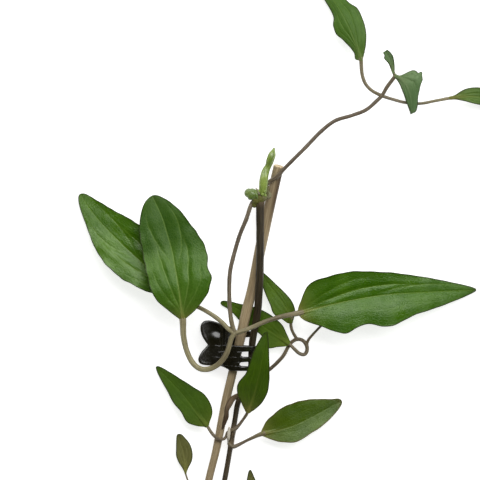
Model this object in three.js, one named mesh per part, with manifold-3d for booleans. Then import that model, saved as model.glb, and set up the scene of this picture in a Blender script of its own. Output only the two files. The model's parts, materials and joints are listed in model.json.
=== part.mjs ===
// A leafy clematis shoot held to a thin cane by a claw clip, lying on a surface.
// Millimetres. +X is to the right of the shoot, +Y runs up the cane and +Z is up, away from the surface.
// Points are measured from the middle of the clip's jaws at the height of the surface. The last lines then
// shift the whole group, so that its origin is the middle of its footprint.

import * as THREE from "three";
import { mergeVertices } from "three/addons/utils/BufferGeometryUtils.js";
import Module from "manifold-3d";

const wasm = await Module();
wasm.setup();

// ---- Driving dimensions -------------------------------------------------------------------------

const LEAF_THICKNESS = 0.7;
const LEAF_TIP_WIDTH = 0.3;
const LEAF_STEPS = 16;
const LEAF_COLUMNS = 6;
const SMALL_LEAF_STEPS = 10;
const SMALL_LEAF_COLUMNS = 4;
const SMALL_LEAF_LENGTH = 30;
const STALK_SIDES = 8;
const CANE_SIDES = 12;
const STALK_STEP = 2.6;

const HINGE = { x: -9.3, y: 0, z: 6.5 };
const JAW_WALL = 1.4;
const JAW_STEPS = 26;
const JAW_TOP = 15;
const JAW_BOTTOM = -10.5;
const KNUCKLE_RADIUS = 2.2;
const KNUCKLE_CLEARANCE = 0.35;
const PIN_RADIUS = 0.65;
const PIN_BORE_RADIUS = 0.95;
const PIN_HEAD_RADIUS = 1.3;
const PIN_HEAD_HEIGHT = 0.5;
const ROUND_SIDES = 20;
const SPRING_WIRE_RADIUS = 0.28;
const SPRING_RADIUS = 1.27;
const SPRING_TURNS = 5;
const SPRING_BOTTOM = -1.5;
const SPRING_TOP = 4.6;
const SPRING_ARM = 7;
const SPRING_ARM_SPREAD = 2.25;

// Each leaf has a midrib from its base to its tip, and the distance from the midrib to each edge. Left
// is the left hand side for someone who walks from the base to the tip. The widths stand at stations that
// crowd towards both ends, and the tip follows the last of them. An edge rises by its rise for each
// millimetre of width.
const LEAVES = {
  arched_leaflet_outer: {
    midrib: [
      [-25, 23.5, 12.6], [-37.5, 34, 12.8], [-47.5, 42.5, 12.2], [-59.5, 53.5, 10],
      [-68, 62, 7], [-75.5, 71, 3.2], [-80.3, 78, 0.5],
    ],
    left: [1, 1.5, 3.5, 8, 11.6, 13.2, 11.4, 7.2, 4.4, 2.2],
    right: [1, 2, 5, 10, 13.5, 14.2, 11.6, 8.3, 5.3, 2.8],
    rise: [0.2, 0.22],
  },
  arched_leaflet_front: {
    midrib: [[-28.4, 13.9, 16.1], [-30.5, 31, 19.4], [-34, 50, 20], [-38.7, 66, 18], [-43.8, 77.2, 13.5]],
    left: [1.2, 2, 6, 12, 14.3, 14.6, 14.3, 12.8, 9.5, 5],
    right: [1.2, 2, 7.6, 14, 17, 16.8, 14.2, 10.4, 6.6, 3.2],
    rise: [0.12, 0.12],
  },
  arched_leaflet_right: {
    midrib: [[29.1, 18.5, 17.1], [48.5, 23.5, 17.4], [71.5, 27.5, 14.5], [94.3, 29, 8.5], [118.5, 30, 0.5]],
    left: [1, 5, 12.5, 14.2, 14, 11.3, 8.5, 5.8, 3.4, 1.6],
    right: [1, 4.5, 9, 15, 13.2, 15.6, 11, 7.5, 4.1, 1.6],
    rise: [0.25, 0.2],
  },
  upper_leaflet_left: {
    midrib: [
      [60.5, 144.6, 12], [58.5, 151, 12.6], [55, 160, 12], [50.5, 169, 9.8],
      [46.7, 175, 7.4], [41, 182, 4], [36, 188, 0.5],
    ],
    left: [1, 1.6, 2.2, 4, 6.5, 5, 3.8, 3, 1.9, 0.9],
    right: [1, 1.8, 3.5, 6.3, 6.6, 5.5, 4.3, 3.3, 2, 1],
    rise: [0.3, 0.3],
  },
  upper_leaflet_right: {
    midrib: [[104.6, 125.9, 9.3], [112.5, 126.8, 8.8], [120, 126.5, 7], [130, 124, 3.4], [138, 120.5, 0.5]],
    left: [0.8, 0.9, 1.4, 3.4, 4.6, 4.7, 4, 3, 1.8, 0.9],
    right: [0.8, 0.9, 1.2, 2.4, 3.6, 4, 3.8, 3, 1.8, 0.9],
    rise: [0.2, 0.2],
  },
  upper_leaflet_curled: {
    midrib: [[76.9, 138.2, 13], [75.5, 143, 14], [73.8, 146.5, 14.5], [72.6, 149.3, 14.2]],
    left: [0.5, 0.7, 1.2, 1.8, 1.9, 1.3],
    right: [0.5, 0.9, 1.6, 2.3, 2, 1.3],
    rise: [0.5, 0.5],
  },
  upper_leaflet_folded: {
    midrib: [[79.1, 136, 13.2], [82.5, 135, 14.4], [85.5, 130, 14.8], [86.5, 124, 13.8], [86, 118, 12.3]],
    left: [0.6, 1.2, 2.5, 8.5, 5, 3, 2.4, 1.5],
    right: [0.6, 1, 2.7, 4, 4.3, 3.9, 2.3, 0.8],
    rise: [-0.15, -0.1],
  },
  twining_leaflet_top: {
    midrib: [[25.5, 17.3, 8.3], [21.5, 23.5, 7.8], [15.5, 31.5, 5.4], [9, 40.5, 3.2]],
    left: [0.9, 2, 5, 7, 6.2, 5.2, 3.8, 2.5, 1.3, 0.6],
    right: [0.9, 1.6, 3.2, 4.2, 3.9, 3.3, 2.6, 1.8, 1, 0.5],
    rise: [0.1, 0.1],
  },
  twining_leaflet_left: {
    midrib: [[24.6, 3, 7], [15, 9.5, 4.4], [5, 16.3, 2.4], [-3, 21.5, 1.8], [-9.7, 23.8, 1.2]],
    left: [0.9, 2.2, 4.5, 8, 4.5, 4.5, 4.5, 3, 1.4, 0.6],
    right: [0.9, 1.8, 3.5, 6, 6.7, 6.5, 5, 2.2, 1.1, 0.5],
    rise: [0.05, 0.12],
  },
  twining_leaflet_hidden: {
    midrib: [[40.5, 12.2, 9.3], [46, 18.5, 9.8], [51.5, 25, 8.6], [57, 30, 6.6]],
    left: [0.7, 1.4, 3, 4.4, 4, 2.4, 1.2],
    right: [0.7, 1.4, 3, 4.4, 4, 2.4, 1.2],
    rise: [0.1, 0.1],
  },
  beside_clip_leaf: {
    midrib: [[3.8, -31.4, 8.4], [7, -22.5, 14], [10, -10, 19.6], [12, 0, 21.6], [13.3, 9.3, 21.8]],
    left: [0.9, 2, 4.8, 8.3, 9.2, 6.6, 5.8, 4.8, 3, 1.4],
    right: [0.9, 1.5, 3.3, 5.2, 6.2, 5.4, 3.9, 2.5, 1.5, 0.7],
    rise: [0.12, 0.2],
  },
  lower_right_leaf: {
    midrib: [[10.8, -42, 6.1], [20, -40, 6.8], [30, -36.5, 6.2], [40, -31.5, 3.8], [51, -25.5, 0.5]],
    left: [1, 3.4, 6.7, 8.8, 10.8, 10.5, 8.8, 6, 3.3, 1.8],
    right: [1, 2.6, 4, 6.5, 8.1, 7.3, 6.5, 5, 3.3, 1.8],
    rise: [0.28, 0.22],
  },
  lower_left_leaf: {
    midrib: [[-16.3, -38.3, 6.3], [-22, -31, 7], [-28.5, -22.5, 5.8], [-35.5, -15, 3.2], [-42, -8.5, 0.5]],
    left: [1, 1.6, 4.4, 6.8, 6.2, 6.3, 4.9, 3.5, 2.2, 1],
    right: [1, 2.2, 6.2, 8.3, 8.6, 6.4, 4.6, 3.3, 2.2, 1.2],
    rise: [0.12, 0.12],
  },
  basal_left_leaf: {
    midrib: [[-27.3, -62, 3.3], [-27.8, -54, 3.7], [-29.3, -48, 3.3], [-31, -42.2, 2.2]],
    left: [0.5, 0.6, 1.6, 3.4, 3.9, 2.9, 1.9, 1.1],
    right: [0.5, 0.7, 1.7, 3.6, 4.5, 4.2, 2.9, 1.7],
    rise: [0.2, 0.2],
  },
  basal_right_leaf: {
    midrib: [[8.4, -75.8, 3.1], [7.7, -70.5, 3.4], [6.2, -65.3, 3.2], [5.1, -60.2, 2.6]],
    left: [0.5, 0.8, 1.9, 3.2, 3.4, 2.8, 1.8, 1],
    right: [0.5, 0.8, 1.8, 3, 3.2, 2.6, 1.7, 0.9],
    rise: [0.2, 0.2],
  },
};

// Each stalk is one or more branches. A branch runs through its points, with its radii spread evenly
// along it.
const STALKS = {
  arched_stalk: [
    {
      points: [
        [6.4, 73.9, 14.4], [3, 65, 15], [-0.1, 57.5, 15.3], [-3.5, 46, 15.8],
        [-5, 39, 16.2], [-5.4, 27.5, 16.9], [-4.6, 16, 17.4], [-2.8, 8.4, 17.6],
      ],
      radii: [1, 1, 1, 1, 1.15],
    },
    {
      points: [
        [-2.8, 8.4, 17.6], [-5.8, 10.6, 17.3], [-9, 13.9, 16.7], [-14, 17.7, 15.4],
        [-20, 21.1, 13.7], [-24.5, 22.9, 12.7],
      ],
      radii: [1.1, 1.1, 1.1, 1.05],
    },
    {
      points: [
        [-2.8, 8.4, 17.6], [-4.3, 5.8, 17.4], [-5.3, 2.3, 17], [-6.4, -1, 16.5], [-8.2, -4.2, 16],
        [-11.3, -7.4, 15.6], [-15.5, -9.4, 15.2], [-19, -9.5, 15], [-22.2, -7.8, 14.9], [-25, -4, 15],
        [-27, 1.2, 15.2], [-28.2, 7.5, 15.6], [-28.4, 13.4, 16],
      ],
      radii: [1.15, 1.35, 1.35, 1.35, 1.25],
    },
    {
      points: [
        [-2.8, 8.4, 17.6], [1, 9.6, 17.8], [5.7, 11.4, 17.8], [13.3, 14.6, 17.6], [21, 16.9, 17.3],
        [28.6, 18.4, 17.1],
      ],
      radii: [1.1, 1.1, 1.15, 1.3],
    },
  ],
  upper_stalk: [
    {
      points: [
        [13.6, 77.4, 13.3], [14.5, 82.5, 13.8], [18.5, 87, 15], [22.3, 90.8, 15.2], [33, 101.5, 14.8],
        [40.5, 109.2, 14.2], [47.5, 114.5, 13.6], [56, 117.2, 13], [63, 120, 12.6], [68.3, 124.5, 12.2],
        [70.8, 127, 12.1], [73.5, 131.5, 12.3], [77.2, 136.4, 12.7],
      ],
      radii: [0.85, 0.9, 0.9, 0.9, 0.95],
    },
    {
      points: [
        [70.8, 127, 12.1], [66, 129.5, 12], [63, 132.5, 12], [61.4, 136, 12], [60.7, 140, 12],
        [60.5, 143.9, 12],
      ],
      radii: [0.8, 0.8, 0.85, 0.9],
    },
    {
      points: [
        [70.8, 127, 12.1], [76, 125.4, 11.6], [82.2, 123.8, 10.9], [89.8, 123.2, 10.3],
        [97.3, 124.5, 9.8], [104.1, 125.8, 9.3],
      ],
      radii: [0.8, 0.75, 0.75, 0.8],
    },
    {
      points: [[77.2, 136.4, 12.7], [77, 137.7, 12.9]],
      radii: [0.7, 0.6],
    },
    {
      points: [[77.2, 136.4, 12.7], [78.6, 136.2, 13]],
      radii: [0.7, 0.7],
    },
  ],
  twining_stalk: [
    {
      points: [
        [3.6, -22.6, 4.7], [6.4, -18.4, 4.3], [11, -13, 4], [16, -8.8, 4], [18.5, -6.5, 4.1],
        [21.8, -2.8, 4.4],
        [24, 1.3, 4.8], [25.7, 3.7, 5.2], [28.5, 5.3, 5.8], [31.2, 4.8, 6.1], [33.2, 2.5, 6.3],
        [33.5, -0.3, 6.4],
        [32.3, -2.2, 6.5], [30, -1.9, 6.6], [27.5, 0.2, 6.8], [25.2, 2.5, 7],
      ],
      radii: [0.85, 0.9, 0.9, 0.9, 0.85, 0.8],
    },
    {
      points: [
        [28.5, 5.3, 5.8], [26.6, 8.5, 6.4], [25.6, 11.2, 7.2], [25.4, 13.8, 7.8],
        [25.7, 16.1, 8.2],
      ],
      radii: [0.8, 0.75, 0.8],
    },
    {
      points: [[33.2, 2.5, 6.3], [34.2, 5, 6.8], [36, 7.3, 7.6], [38.5, 10, 8.6], [40.2, 11.8, 9.2]],
      radii: [0.75, 0.65, 0.6],
    },
  ],
  beside_clip_stalk: [
    {
      points: [
        [-1.1, -39.1, 5.4], [0.3, -37.8, 5.8], [1.8, -35.2, 6.5], [3.5, -32, 8],
      ],
      radii: [0.8, 0.7, 0.75],
    },
  ],
  lower_right_stalk: [
    {
      points: [
        [-2.5, -48.2, 4.3], [-0.5, -47.2, 4.8], [4.5, -44.8, 5.6], [10.3, -42.2, 6],
      ],
      radii: [0.8, 0.75, 0.85, 1],
    },
  ],
  lower_left_stalk: [
    {
      points: [
        [-6.1, -41.4, 5.1], [-6.7, -42.9, 6], [-7.8, -44.4, 6.9], [-10.2, -44.7, 7.9],
        [-12.5, -43.4, 7.7], [-14.6, -41, 6.9], [-15.9, -38.9, 6.4],
      ],
      radii: [0.75, 0.75, 0.75, 0.8],
    },
  ],
  basal_left_stalk: [
    {
      points: [
        [-12.9, -78.3, 3.2], [-14.5, -77, 4.6], [-18, -74.8, 5.9], [-22, -71.5, 5.2],
        [-25.4, -67, 3.9], [-27.1, -62.5, 3.3],
      ],
      radii: [0.6, 0.5, 0.45],
    },
  ],
  basal_right_stalk: [
    {
      points: [
        [-8.8, -79.5, 2.6], [-4, -80, 2.6], [2, -79.8, 2.8], [6.6, -78, 3], [8.1, -76.5, 3.1],
      ],
      radii: [0.6, 0.5, 0.5],
    },
  ],
  dried_stalk: [
    {
      points: [
        [-2.1, -23.4, 6], [-3.7, -24.6, 6.8], [-5.2, -27, 7.4], [-6.5, -29.8, 7.7],
        [-6.75, -33, 7.4], [-7.7, -36.2, 7.3], [-8.6, -39.2, 7.4],
      ],
      radii: [0.75, 0.7, 0.55, 0.5],
    },
  ],
};

const CANE = {
  points: [
    [-21, -92.5, 2.1], [-15.6, -65, 3.4], [-11.9, -50, 4.1], [-7, -25, 5.3], [-4, -12.5, 5.9],
    [0, 5, 6.7], [3.4, 20, 7.5], [6, 30, 7.9], [10, 50, 8.9], [14.3, 70, 9.8], [19.4, 92, 10.9],
  ],
  radii: [1.75, 1.9, 2.15, 2.5, 2.7, 2.65],
};

const STEM = {
  points: [
    [-13.9, -92.5, 1.5], [-7.7, -65, 2.9], [-4.4, -46, 4], [-2.5, -34.5, 4.6], [-1.2, -27, 5],
    [0.3, -23, 5.2],
    [2.3, -19, 5.4], [4.7, -13.5, 5.9], [5.5, -8, 6.2], [5.8, 0, 6.5], [6.6, 7, 6.9], [8, 14, 8],
    [9, 22, 9.8], [9.5, 30, 11.7], [10, 45, 13.9], [10, 60, 14.2], [10, 73.5, 14.4], [10.2, 76.5, 14.5],
  ],
  radii: [1.35, 1.3, 1.25, 1.3, 1.5, 1.75, 1.85, 1.85, 1.9],
  nodes: [
    { y: -79, swell: 0.35 }, { y: -47, swell: 0.3 }, { y: -40.5, swell: 0.3 },
    { y: -23, swell: 0.2 }, { y: 75, swell: 0.3 },
  ],
};
const NODE_HALF_LENGTH = 2.2;

const TOP_SHOOT = {
  points: [
    [11, 77.3, 15.1], [11.4, 81, 15.8], [11.6, 84.5, 16.3], [12.8, 90, 17], [13.7, 93, 17.4],
    [15, 97, 18], [16.9, 101, 18.6],
  ],
  radii: [1.6, 2, 2.2, 1.75, 1.35, 1.65, 1.4, 0.5],
};

const BUD_STUB = {
  points: [[7.5, 76.9, 15.9], [6.2, 77.6, 15.9], [4.6, 78.5, 15.8], [2.9, 79.3, 15.6]],
  radii: [1.8, 2.5, 2.7, 2.4, 1.2],
};

// The jaw's wall seen along the hinge pin: x runs from the finger wing's tip to the teeth, and z away
// from the pin.
const JAW_PROFILE = [
  [-11.7, 5.6], [-6, 3.9], [-1.5, 2.75], [2, 3.2], [6, 4.25], [10.5, 4.35], [14.5, 3.5], [17, 2.2],
  [18.1, 0.75],
];
// The finger wing seen from above: two rounded lobes with a notch between them.
const WING_START = [0.5, 12.9];
const WING_UPPER_LOBE = [
  [-2.2, 13.9], [-4.9, 14.7], [-8.4, 14.6], [-10, 13.2], [-10.5, 10.5], [-9.6, 6.9], [-8, 4.2],
  [-6.8, 2.6],
];
const WING_LOWER_LOBE = [
  [-8.2, 1], [-9.9, -0.9], [-11.2, -3.2], [-11.6, -4.8], [-10.8, -6.6], [-8.5, -7.6], [-5, -7.6],
  [-1, -7.5],
];
// The toothed edge seen from above: its slanted lower corner, and the upper edges of the two jaws below.
const JAW_HEEL = [[2.6, -9.3], [4.3, JAW_BOTTOM]];
const TEETH_END = 20;
const OUTLINE_REACH = 10;
// Slots between the teeth: [x where the slot begins, lower y, upper y].
const TOOTH_SLOTS = [[9, -8.2, -6], [9.6, -3.5, -0.8]];
const FRONT_JAW = {
  side: 1,
  upperEdge: [[TEETH_END, 2.2], [3.4, 2.2], [2.4, 4], [2.4, 12]],
  slots: TOOTH_SLOTS,
  knuckles: [[-4.4, -2.2], [5.3, 7.7]],
};
const BACK_JAW = {
  side: -1,
  upperEdge: [
    [TEETH_END, 2.2], [9.5, 2.2], [9.5, 6.2], [15.6, 6.2], [15.6, 9.5], [8, 9.5], [4.8, 11.5],
  ],
  slots: TOOTH_SLOTS,
  knuckles: [[-7.4, -5.1], [8.4, 10.8]],
};

// ---- Materials ----------------------------------------------------------------------------------

function finish(color, roughness, metalness = 0) {
  return new THREE.MeshStandardMaterial({ color, roughness, metalness });
}

const leafGreen = finish(0x4f7a2c, 0.45);
const youngGreen = finish(0x8aa04a, 0.5);
const brownStem = finish(0x3a3226, 0.75);
const oliveStalk = finish(0x857f5c, 0.6);
const dryStalk = finish(0x54442f, 0.85);
const caneWood = finish(0x9c8a66, 0.7);
const blackPlastic = finish(0x1b1b17, 0.25);
const steel = finish(0xb8b8b8, 0.3, 1);

// ---- Closed solids: to and from manifold-3d -----------------------------------------------------

function toSolid(geometry) {
  const bare = geometry.clone();
  bare.deleteAttribute("normal");
  bare.deleteAttribute("uv");
  const merged = mergeVertices(bare, 1e-4);
  const mesh = new wasm.Mesh({
    numProp: 3,
    vertProperties: merged.attributes.position.array,
    triVerts: new Uint32Array(merged.index.array),
  });
  return new wasm.Manifold(mesh);
}

function toGeometry(solid) {
  const mesh = solid.getMesh();
  const geometry = new THREE.BufferGeometry();
  geometry.setAttribute("position", new THREE.BufferAttribute(new Float32Array(mesh.vertProperties), 3));
  geometry.setIndex(new THREE.BufferAttribute(new Uint32Array(mesh.triVerts), 1));
  geometry.computeVertexNormals();
  return geometry;
}

function joined(geometries) {
  return toGeometry(geometries.map(toSolid).reduce((all, next) => all.add(next)));
}

// ---- Curves -------------------------------------------------------------------------------------

function curveThrough(points) {
  const vectors = points.map((point) => new THREE.Vector3(...point));
  return new THREE.CatmullRomCurve3(vectors, false, "centripetal");
}

// A value between the listed ones, which are spread evenly over 0 to 1.
function smoothValue(values, share) {
  const spline = new THREE.SplineCurve(values.map((value, index) => new THREE.Vector2(index, value)));
  return Math.max(spline.getPoint(THREE.MathUtils.clamp(share, 0, 1)).y, LEAF_TIP_WIDTH);
}

// ---- Leaves -------------------------------------------------------------------------------------

// A flat slab bent into a leaf blade: its length follows the midrib, its sides follow the edges' widths,
// and its rows stand closer together towards the base and the tip.
function leafGeometry({ midrib, left, right, rise }) {
  const rib = curveThrough(midrib);
  const small = rib.getLength() < SMALL_LEAF_LENGTH;
  const steps = small ? SMALL_LEAF_STEPS : LEAF_STEPS;
  const columns = small ? SMALL_LEAF_COLUMNS : LEAF_COLUMNS;
  const slab = new THREE.BoxGeometry(1, 1, 1, steps, columns, 1);
  const positions = slab.attributes.position;
  for (let i = 0; i < positions.count; i++) {
    const station = positions.getX(i) + 0.5;
    const across = positions.getY(i) * 2;
    const along = (1 - Math.cos(Math.PI * station)) / 2;
    const centre = rib.getPointAt(along);
    const heading = rib.getTangentAt(along).setZ(0).normalize();
    const widths = across > 0 ? left : right;
    const width = smoothValue([...widths, LEAF_TIP_WIDTH], station);
    const offset = across * width;
    const lift = (across > 0 ? rise[0] : rise[1]) * Math.abs(offset);
    positions.setXYZ(
      i,
      centre.x - heading.y * offset,
      centre.y + heading.x * offset,
      centre.z + lift + positions.getZ(i) * LEAF_THICKNESS,
    );
  }
  return slab;
}

// ---- Stalks, stem, shoot and cane ---------------------------------------------------------------

function roundSection(sides) {
  const corners = [];
  for (let i = 0; i < sides; i++) {
    const angle = (2 * Math.PI * i) / sides;
    corners.push(new THREE.Vector2(Math.cos(angle), Math.sin(angle)));
  }
  return new THREE.Shape(corners);
}

// A rod of one millimetre radius along the path, whose rings are then drawn in or out to the wanted radius.
function rodGeometry(points, radii, sides = STALK_SIDES, bulgeAt = () => 0) {
  const path = curveThrough(points);
  const steps = Math.max(2, Math.round(path.getLength() / STALK_STEP));
  const settings = { steps, bevelEnabled: false, extrudePath: path };
  const rod = new THREE.ExtrudeGeometry(roundSection(sides), settings);
  const centres = path.getSpacedPoints(steps);
  const positions = rod.attributes.position;
  const vertex = new THREE.Vector3();
  for (let i = 0; i < positions.count; i++) {
    vertex.fromBufferAttribute(positions, i);
    const distances = centres.map((centre) => Math.abs(centre.distanceTo(vertex) - 1));
    const ring = distances.indexOf(Math.min(...distances));
    const centre = centres[ring];
    const radius = smoothValue(radii, ring / steps) + bulgeAt(centre.y);
    vertex.sub(centre).multiplyScalar(radius).add(centre);
    positions.setXYZ(i, vertex.x, vertex.y, vertex.z);
  }
  return rod;
}

function stalkGeometry(branches) {
  return joined(branches.map(({ points, radii }) => rodGeometry(points, radii)));
}

// The stem thickens for a short way at each node where leaves leave it.
function stemBulge(y) {
  const swellings = STEM.nodes.map((node) => {
    const distance = (y - node.y) / NODE_HALF_LENGTH;
    return node.swell * Math.exp(-(distance ** 2));
  });
  return swellings.reduce((sum, swelling) => sum + swelling, 0);
}

// ---- Clip ---------------------------------------------------------------------------------------

// The jaw's wall: its profile given a thickness and drawn out along the hinge pin.
function jawWall(side) {
  const line = new THREE.SplineCurve(JAW_PROFILE.map(([x, z]) => new THREE.Vector2(x, z * side)));
  const outer = [];
  const inner = [];
  for (let i = 0; i <= JAW_STEPS; i++) {
    const point = line.getPoint(i / JAW_STEPS);
    const tangent = line.getTangent(i / JAW_STEPS);
    const normal = new THREE.Vector2(-tangent.y, tangent.x).multiplyScalar(JAW_WALL / 2);
    outer.push(point.clone().add(normal));
    inner.push(point.clone().sub(normal));
  }
  const section = new THREE.Shape([...outer, ...inner.reverse()]);
  const wall = new THREE.ExtrudeGeometry(section, { depth: JAW_TOP - JAW_BOTTOM, bevelEnabled: false });
  wall.rotateX(Math.PI / 2);
  wall.translate(0, JAW_TOP, 0);
  return wall;
}

// The jaw's outline seen from above, with its slots between the teeth.
function jawOutline({ upperEdge, slots }) {
  const outline = new THREE.Shape();
  outline.moveTo(...WING_START);
  outline.splineThru(WING_UPPER_LOBE.map(([x, y]) => new THREE.Vector2(x, y)));
  outline.splineThru(WING_LOWER_LOBE.map(([x, y]) => new THREE.Vector2(x, y)));
  for (const [x, y] of JAW_HEEL) outline.lineTo(x, y);
  outline.lineTo(TEETH_END, JAW_BOTTOM);
  for (const [start, low, high] of slots) {
    outline.lineTo(TEETH_END, low);
    outline.lineTo(start, low);
    outline.lineTo(start, high);
    outline.lineTo(TEETH_END, high);
  }
  for (const [x, y] of upperEdge) outline.lineTo(x, y);
  const settings = { depth: 2 * OUTLINE_REACH, bevelEnabled: false, curveSegments: 3 };
  const block = new THREE.ExtrudeGeometry(outline, settings);
  block.translate(0, 0, -OUTLINE_REACH);
  return block;
}

function cylinderAlongY(radius, low, high) {
  const cylinder = new THREE.CylinderGeometry(radius, radius, high - low, ROUND_SIDES);
  cylinder.translate(0, (high + low) / 2, 0);
  return cylinder;
}

function jawGeometry(jaw, otherJaw) {
  let solid = toSolid(jawWall(jaw.side)).intersect(toSolid(jawOutline(jaw)));
  for (const [low, high] of otherJaw.knuckles) {
    const radius = KNUCKLE_RADIUS + KNUCKLE_CLEARANCE;
    const relief = cylinderAlongY(radius, low - KNUCKLE_CLEARANCE, high + KNUCKLE_CLEARANCE);
    solid = solid.subtract(toSolid(relief));
  }
  for (const [low, high] of jaw.knuckles) {
    solid = solid.add(toSolid(cylinderAlongY(KNUCKLE_RADIUS, low, high)));
  }
  return toGeometry(solid.subtract(toSolid(cylinderAlongY(PIN_BORE_RADIUS, JAW_BOTTOM, JAW_TOP))));
}

function pinGeometry() {
  const low = BACK_JAW.knuckles[0][0] - KNUCKLE_CLEARANCE;
  const high = BACK_JAW.knuckles[1][1] + KNUCKLE_CLEARANCE;
  const profile = [
    [0, low - PIN_HEAD_HEIGHT], [PIN_HEAD_RADIUS, low - PIN_HEAD_HEIGHT], [PIN_HEAD_RADIUS, low],
    [PIN_RADIUS, low],
    [PIN_RADIUS, high], [PIN_HEAD_RADIUS, high], [PIN_HEAD_RADIUS, high + PIN_HEAD_HEIGHT],
    [0, high + PIN_HEAD_HEIGHT],
  ];
  return new THREE.LatheGeometry(profile.map(([radius, y]) => new THREE.Vector2(radius, y)), ROUND_SIDES);
}

// The spring's wire: an arm under the front wing, a coil round the pin, and an arm over the back wing.
function springGeometry() {
  const points = [new THREE.Vector3(-SPRING_ARM, SPRING_BOTTOM, SPRING_ARM_SPREAD)];
  const stepsPerTurn = 12;
  const sweep = SPRING_TURNS - 0.5;
  const coilSteps = Math.round(sweep * stepsPerTurn);
  for (let i = 0; i <= coilSteps; i++) {
    const angle = Math.PI / 2 - (2 * Math.PI * i) / stepsPerTurn;
    const y = THREE.MathUtils.lerp(SPRING_BOTTOM, SPRING_TOP, i / coilSteps);
    points.push(new THREE.Vector3(SPRING_RADIUS * Math.cos(angle), y, SPRING_RADIUS * Math.sin(angle)));
  }
  points.push(new THREE.Vector3(-SPRING_ARM, SPRING_TOP, -SPRING_ARM_SPREAD));
  const wire = new THREE.CatmullRomCurve3(points, false, "centripetal");
  const section = new THREE.Shape(
    roundSection(6).getPoints().map((corner) => corner.multiplyScalar(SPRING_WIRE_RADIUS)),
  );
  const steps = coilSteps + 2 * SPRING_ARM;
  return new THREE.ExtrudeGeometry(section, { steps, bevelEnabled: false, extrudePath: wire });
}

// ---- Assembly -----------------------------------------------------------------------------------

const shoot = new THREE.Group();

function addPiece(group, name, geometry, material) {
  const piece = new THREE.Mesh(geometry, material);
  piece.name = name;
  group.add(piece);
}

addPiece(shoot, "support_cane", rodGeometry(CANE.points, CANE.radii, CANE_SIDES), caneWood);
addPiece(shoot, "main_stem", rodGeometry(STEM.points, STEM.radii, STALK_SIDES, stemBulge), brownStem);
addPiece(shoot, "top_shoot", rodGeometry(TOP_SHOOT.points, TOP_SHOOT.radii), youngGreen);
addPiece(shoot, "bud_stub", rodGeometry(BUD_STUB.points, BUD_STUB.radii), youngGreen);
for (const [name, branches] of Object.entries(STALKS)) {
  addPiece(shoot, name, stalkGeometry(branches), name === "dried_stalk" ? dryStalk : oliveStalk);
}
for (const [name, leaf] of Object.entries(LEAVES)) addPiece(shoot, name, leafGeometry(leaf), leafGreen);

const clip = new THREE.Group();
clip.position.set(HINGE.x, HINGE.y, HINGE.z);
addPiece(clip, "clip_front_jaw", jawGeometry(FRONT_JAW, BACK_JAW), blackPlastic);
addPiece(clip, "clip_back_jaw", jawGeometry(BACK_JAW, FRONT_JAW), blackPlastic);
addPiece(clip, "clip_pin", pinGeometry(), steel);
addPiece(clip, "clip_spring", springGeometry(), steel);
shoot.add(clip);

// The origin is the middle of the footprint, on the surface.
const extent = new THREE.Box3().setFromObject(shoot, true);
const footprint = extent.getCenter(new THREE.Vector3()).setZ(extent.min.z);
shoot.position.sub(footprint);

export default shoot;
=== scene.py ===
import json
import bpy
import numpy as np
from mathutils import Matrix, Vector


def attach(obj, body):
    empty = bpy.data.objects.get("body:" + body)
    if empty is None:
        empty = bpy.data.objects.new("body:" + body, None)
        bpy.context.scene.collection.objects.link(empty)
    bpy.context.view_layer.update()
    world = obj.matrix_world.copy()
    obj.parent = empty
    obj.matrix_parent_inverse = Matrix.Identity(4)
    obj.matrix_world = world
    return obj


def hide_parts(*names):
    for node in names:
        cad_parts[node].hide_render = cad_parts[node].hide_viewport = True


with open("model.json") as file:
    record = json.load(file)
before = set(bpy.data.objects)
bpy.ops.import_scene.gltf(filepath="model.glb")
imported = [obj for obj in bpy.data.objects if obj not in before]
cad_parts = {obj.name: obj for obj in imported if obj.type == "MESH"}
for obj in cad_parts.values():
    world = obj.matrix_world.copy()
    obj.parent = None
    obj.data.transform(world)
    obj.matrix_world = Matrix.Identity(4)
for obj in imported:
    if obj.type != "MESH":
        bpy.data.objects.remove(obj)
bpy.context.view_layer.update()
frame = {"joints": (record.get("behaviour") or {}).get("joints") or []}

mm = 0.001
# points below are millimetres from the middle of the clip's jaws, at the height of the surface;
# the clip's hinge is the one place that both this script and the frame know
hingePoint = np.array([-9.3, 0, 6.5])
jawMiddle = np.array(frame["joints"][0]["pos_m"]) - hingePoint * mm


def placed(points):
    return np.asarray(points, float) * mm + jawMiddle


def newObject(name, data):
    made = bpy.data.objects.new(name, data)
    bpy.context.scene.collection.objects.link(made)
    return made


def newFinish(name, roughness, specular=0.5, **sockets):
    # a material with its constant numbers on the shader's own sockets
    material = bpy.data.materials.new(name)
    material.use_nodes = True
    shader = material.node_tree.nodes["Principled BSDF"]
    for socket, value in {"Roughness": roughness, "Specular IOR Level": specular, **sockets}.items():
        shader.inputs[socket.replace("_", " ")].default_value = value
    return material, material.node_tree, shader


# ---- camera, light and floor

studio = {
    "centre": (0, 55, 9),  # what the camera looks straight down on
    "fieldWidth": 240,  # millimetres across the picture
    "cameraHeight": 3000,
    "sensor": 36,
    # how far each light stands from the centre, its size and its power
    "key": ((280, 740, 1180), (2100, 950), 26),
    "overhead": ((60, -80, 1500), (1600, 1600), 3.6),
    "ambient": 0.1,
    "floorWidth": 30000, "floorGrey": 0.68, "floorGlow": 0.72,
}


def areaLight(name):
    start, size, power = studio[name]
    data = bpy.data.lights.new(name, "AREA")
    data.shape = "RECTANGLE"
    data.size, data.size_y = size[0] * mm, size[1] * mm
    data.energy = power
    light = newObject(name, data)
    light.location = placed(studio["centre"]) + np.array(start) * mm
    light.rotation_euler = Vector(start).to_track_quat("Z", "Y").to_euler()
    light.visible_camera = False
    return light


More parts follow.
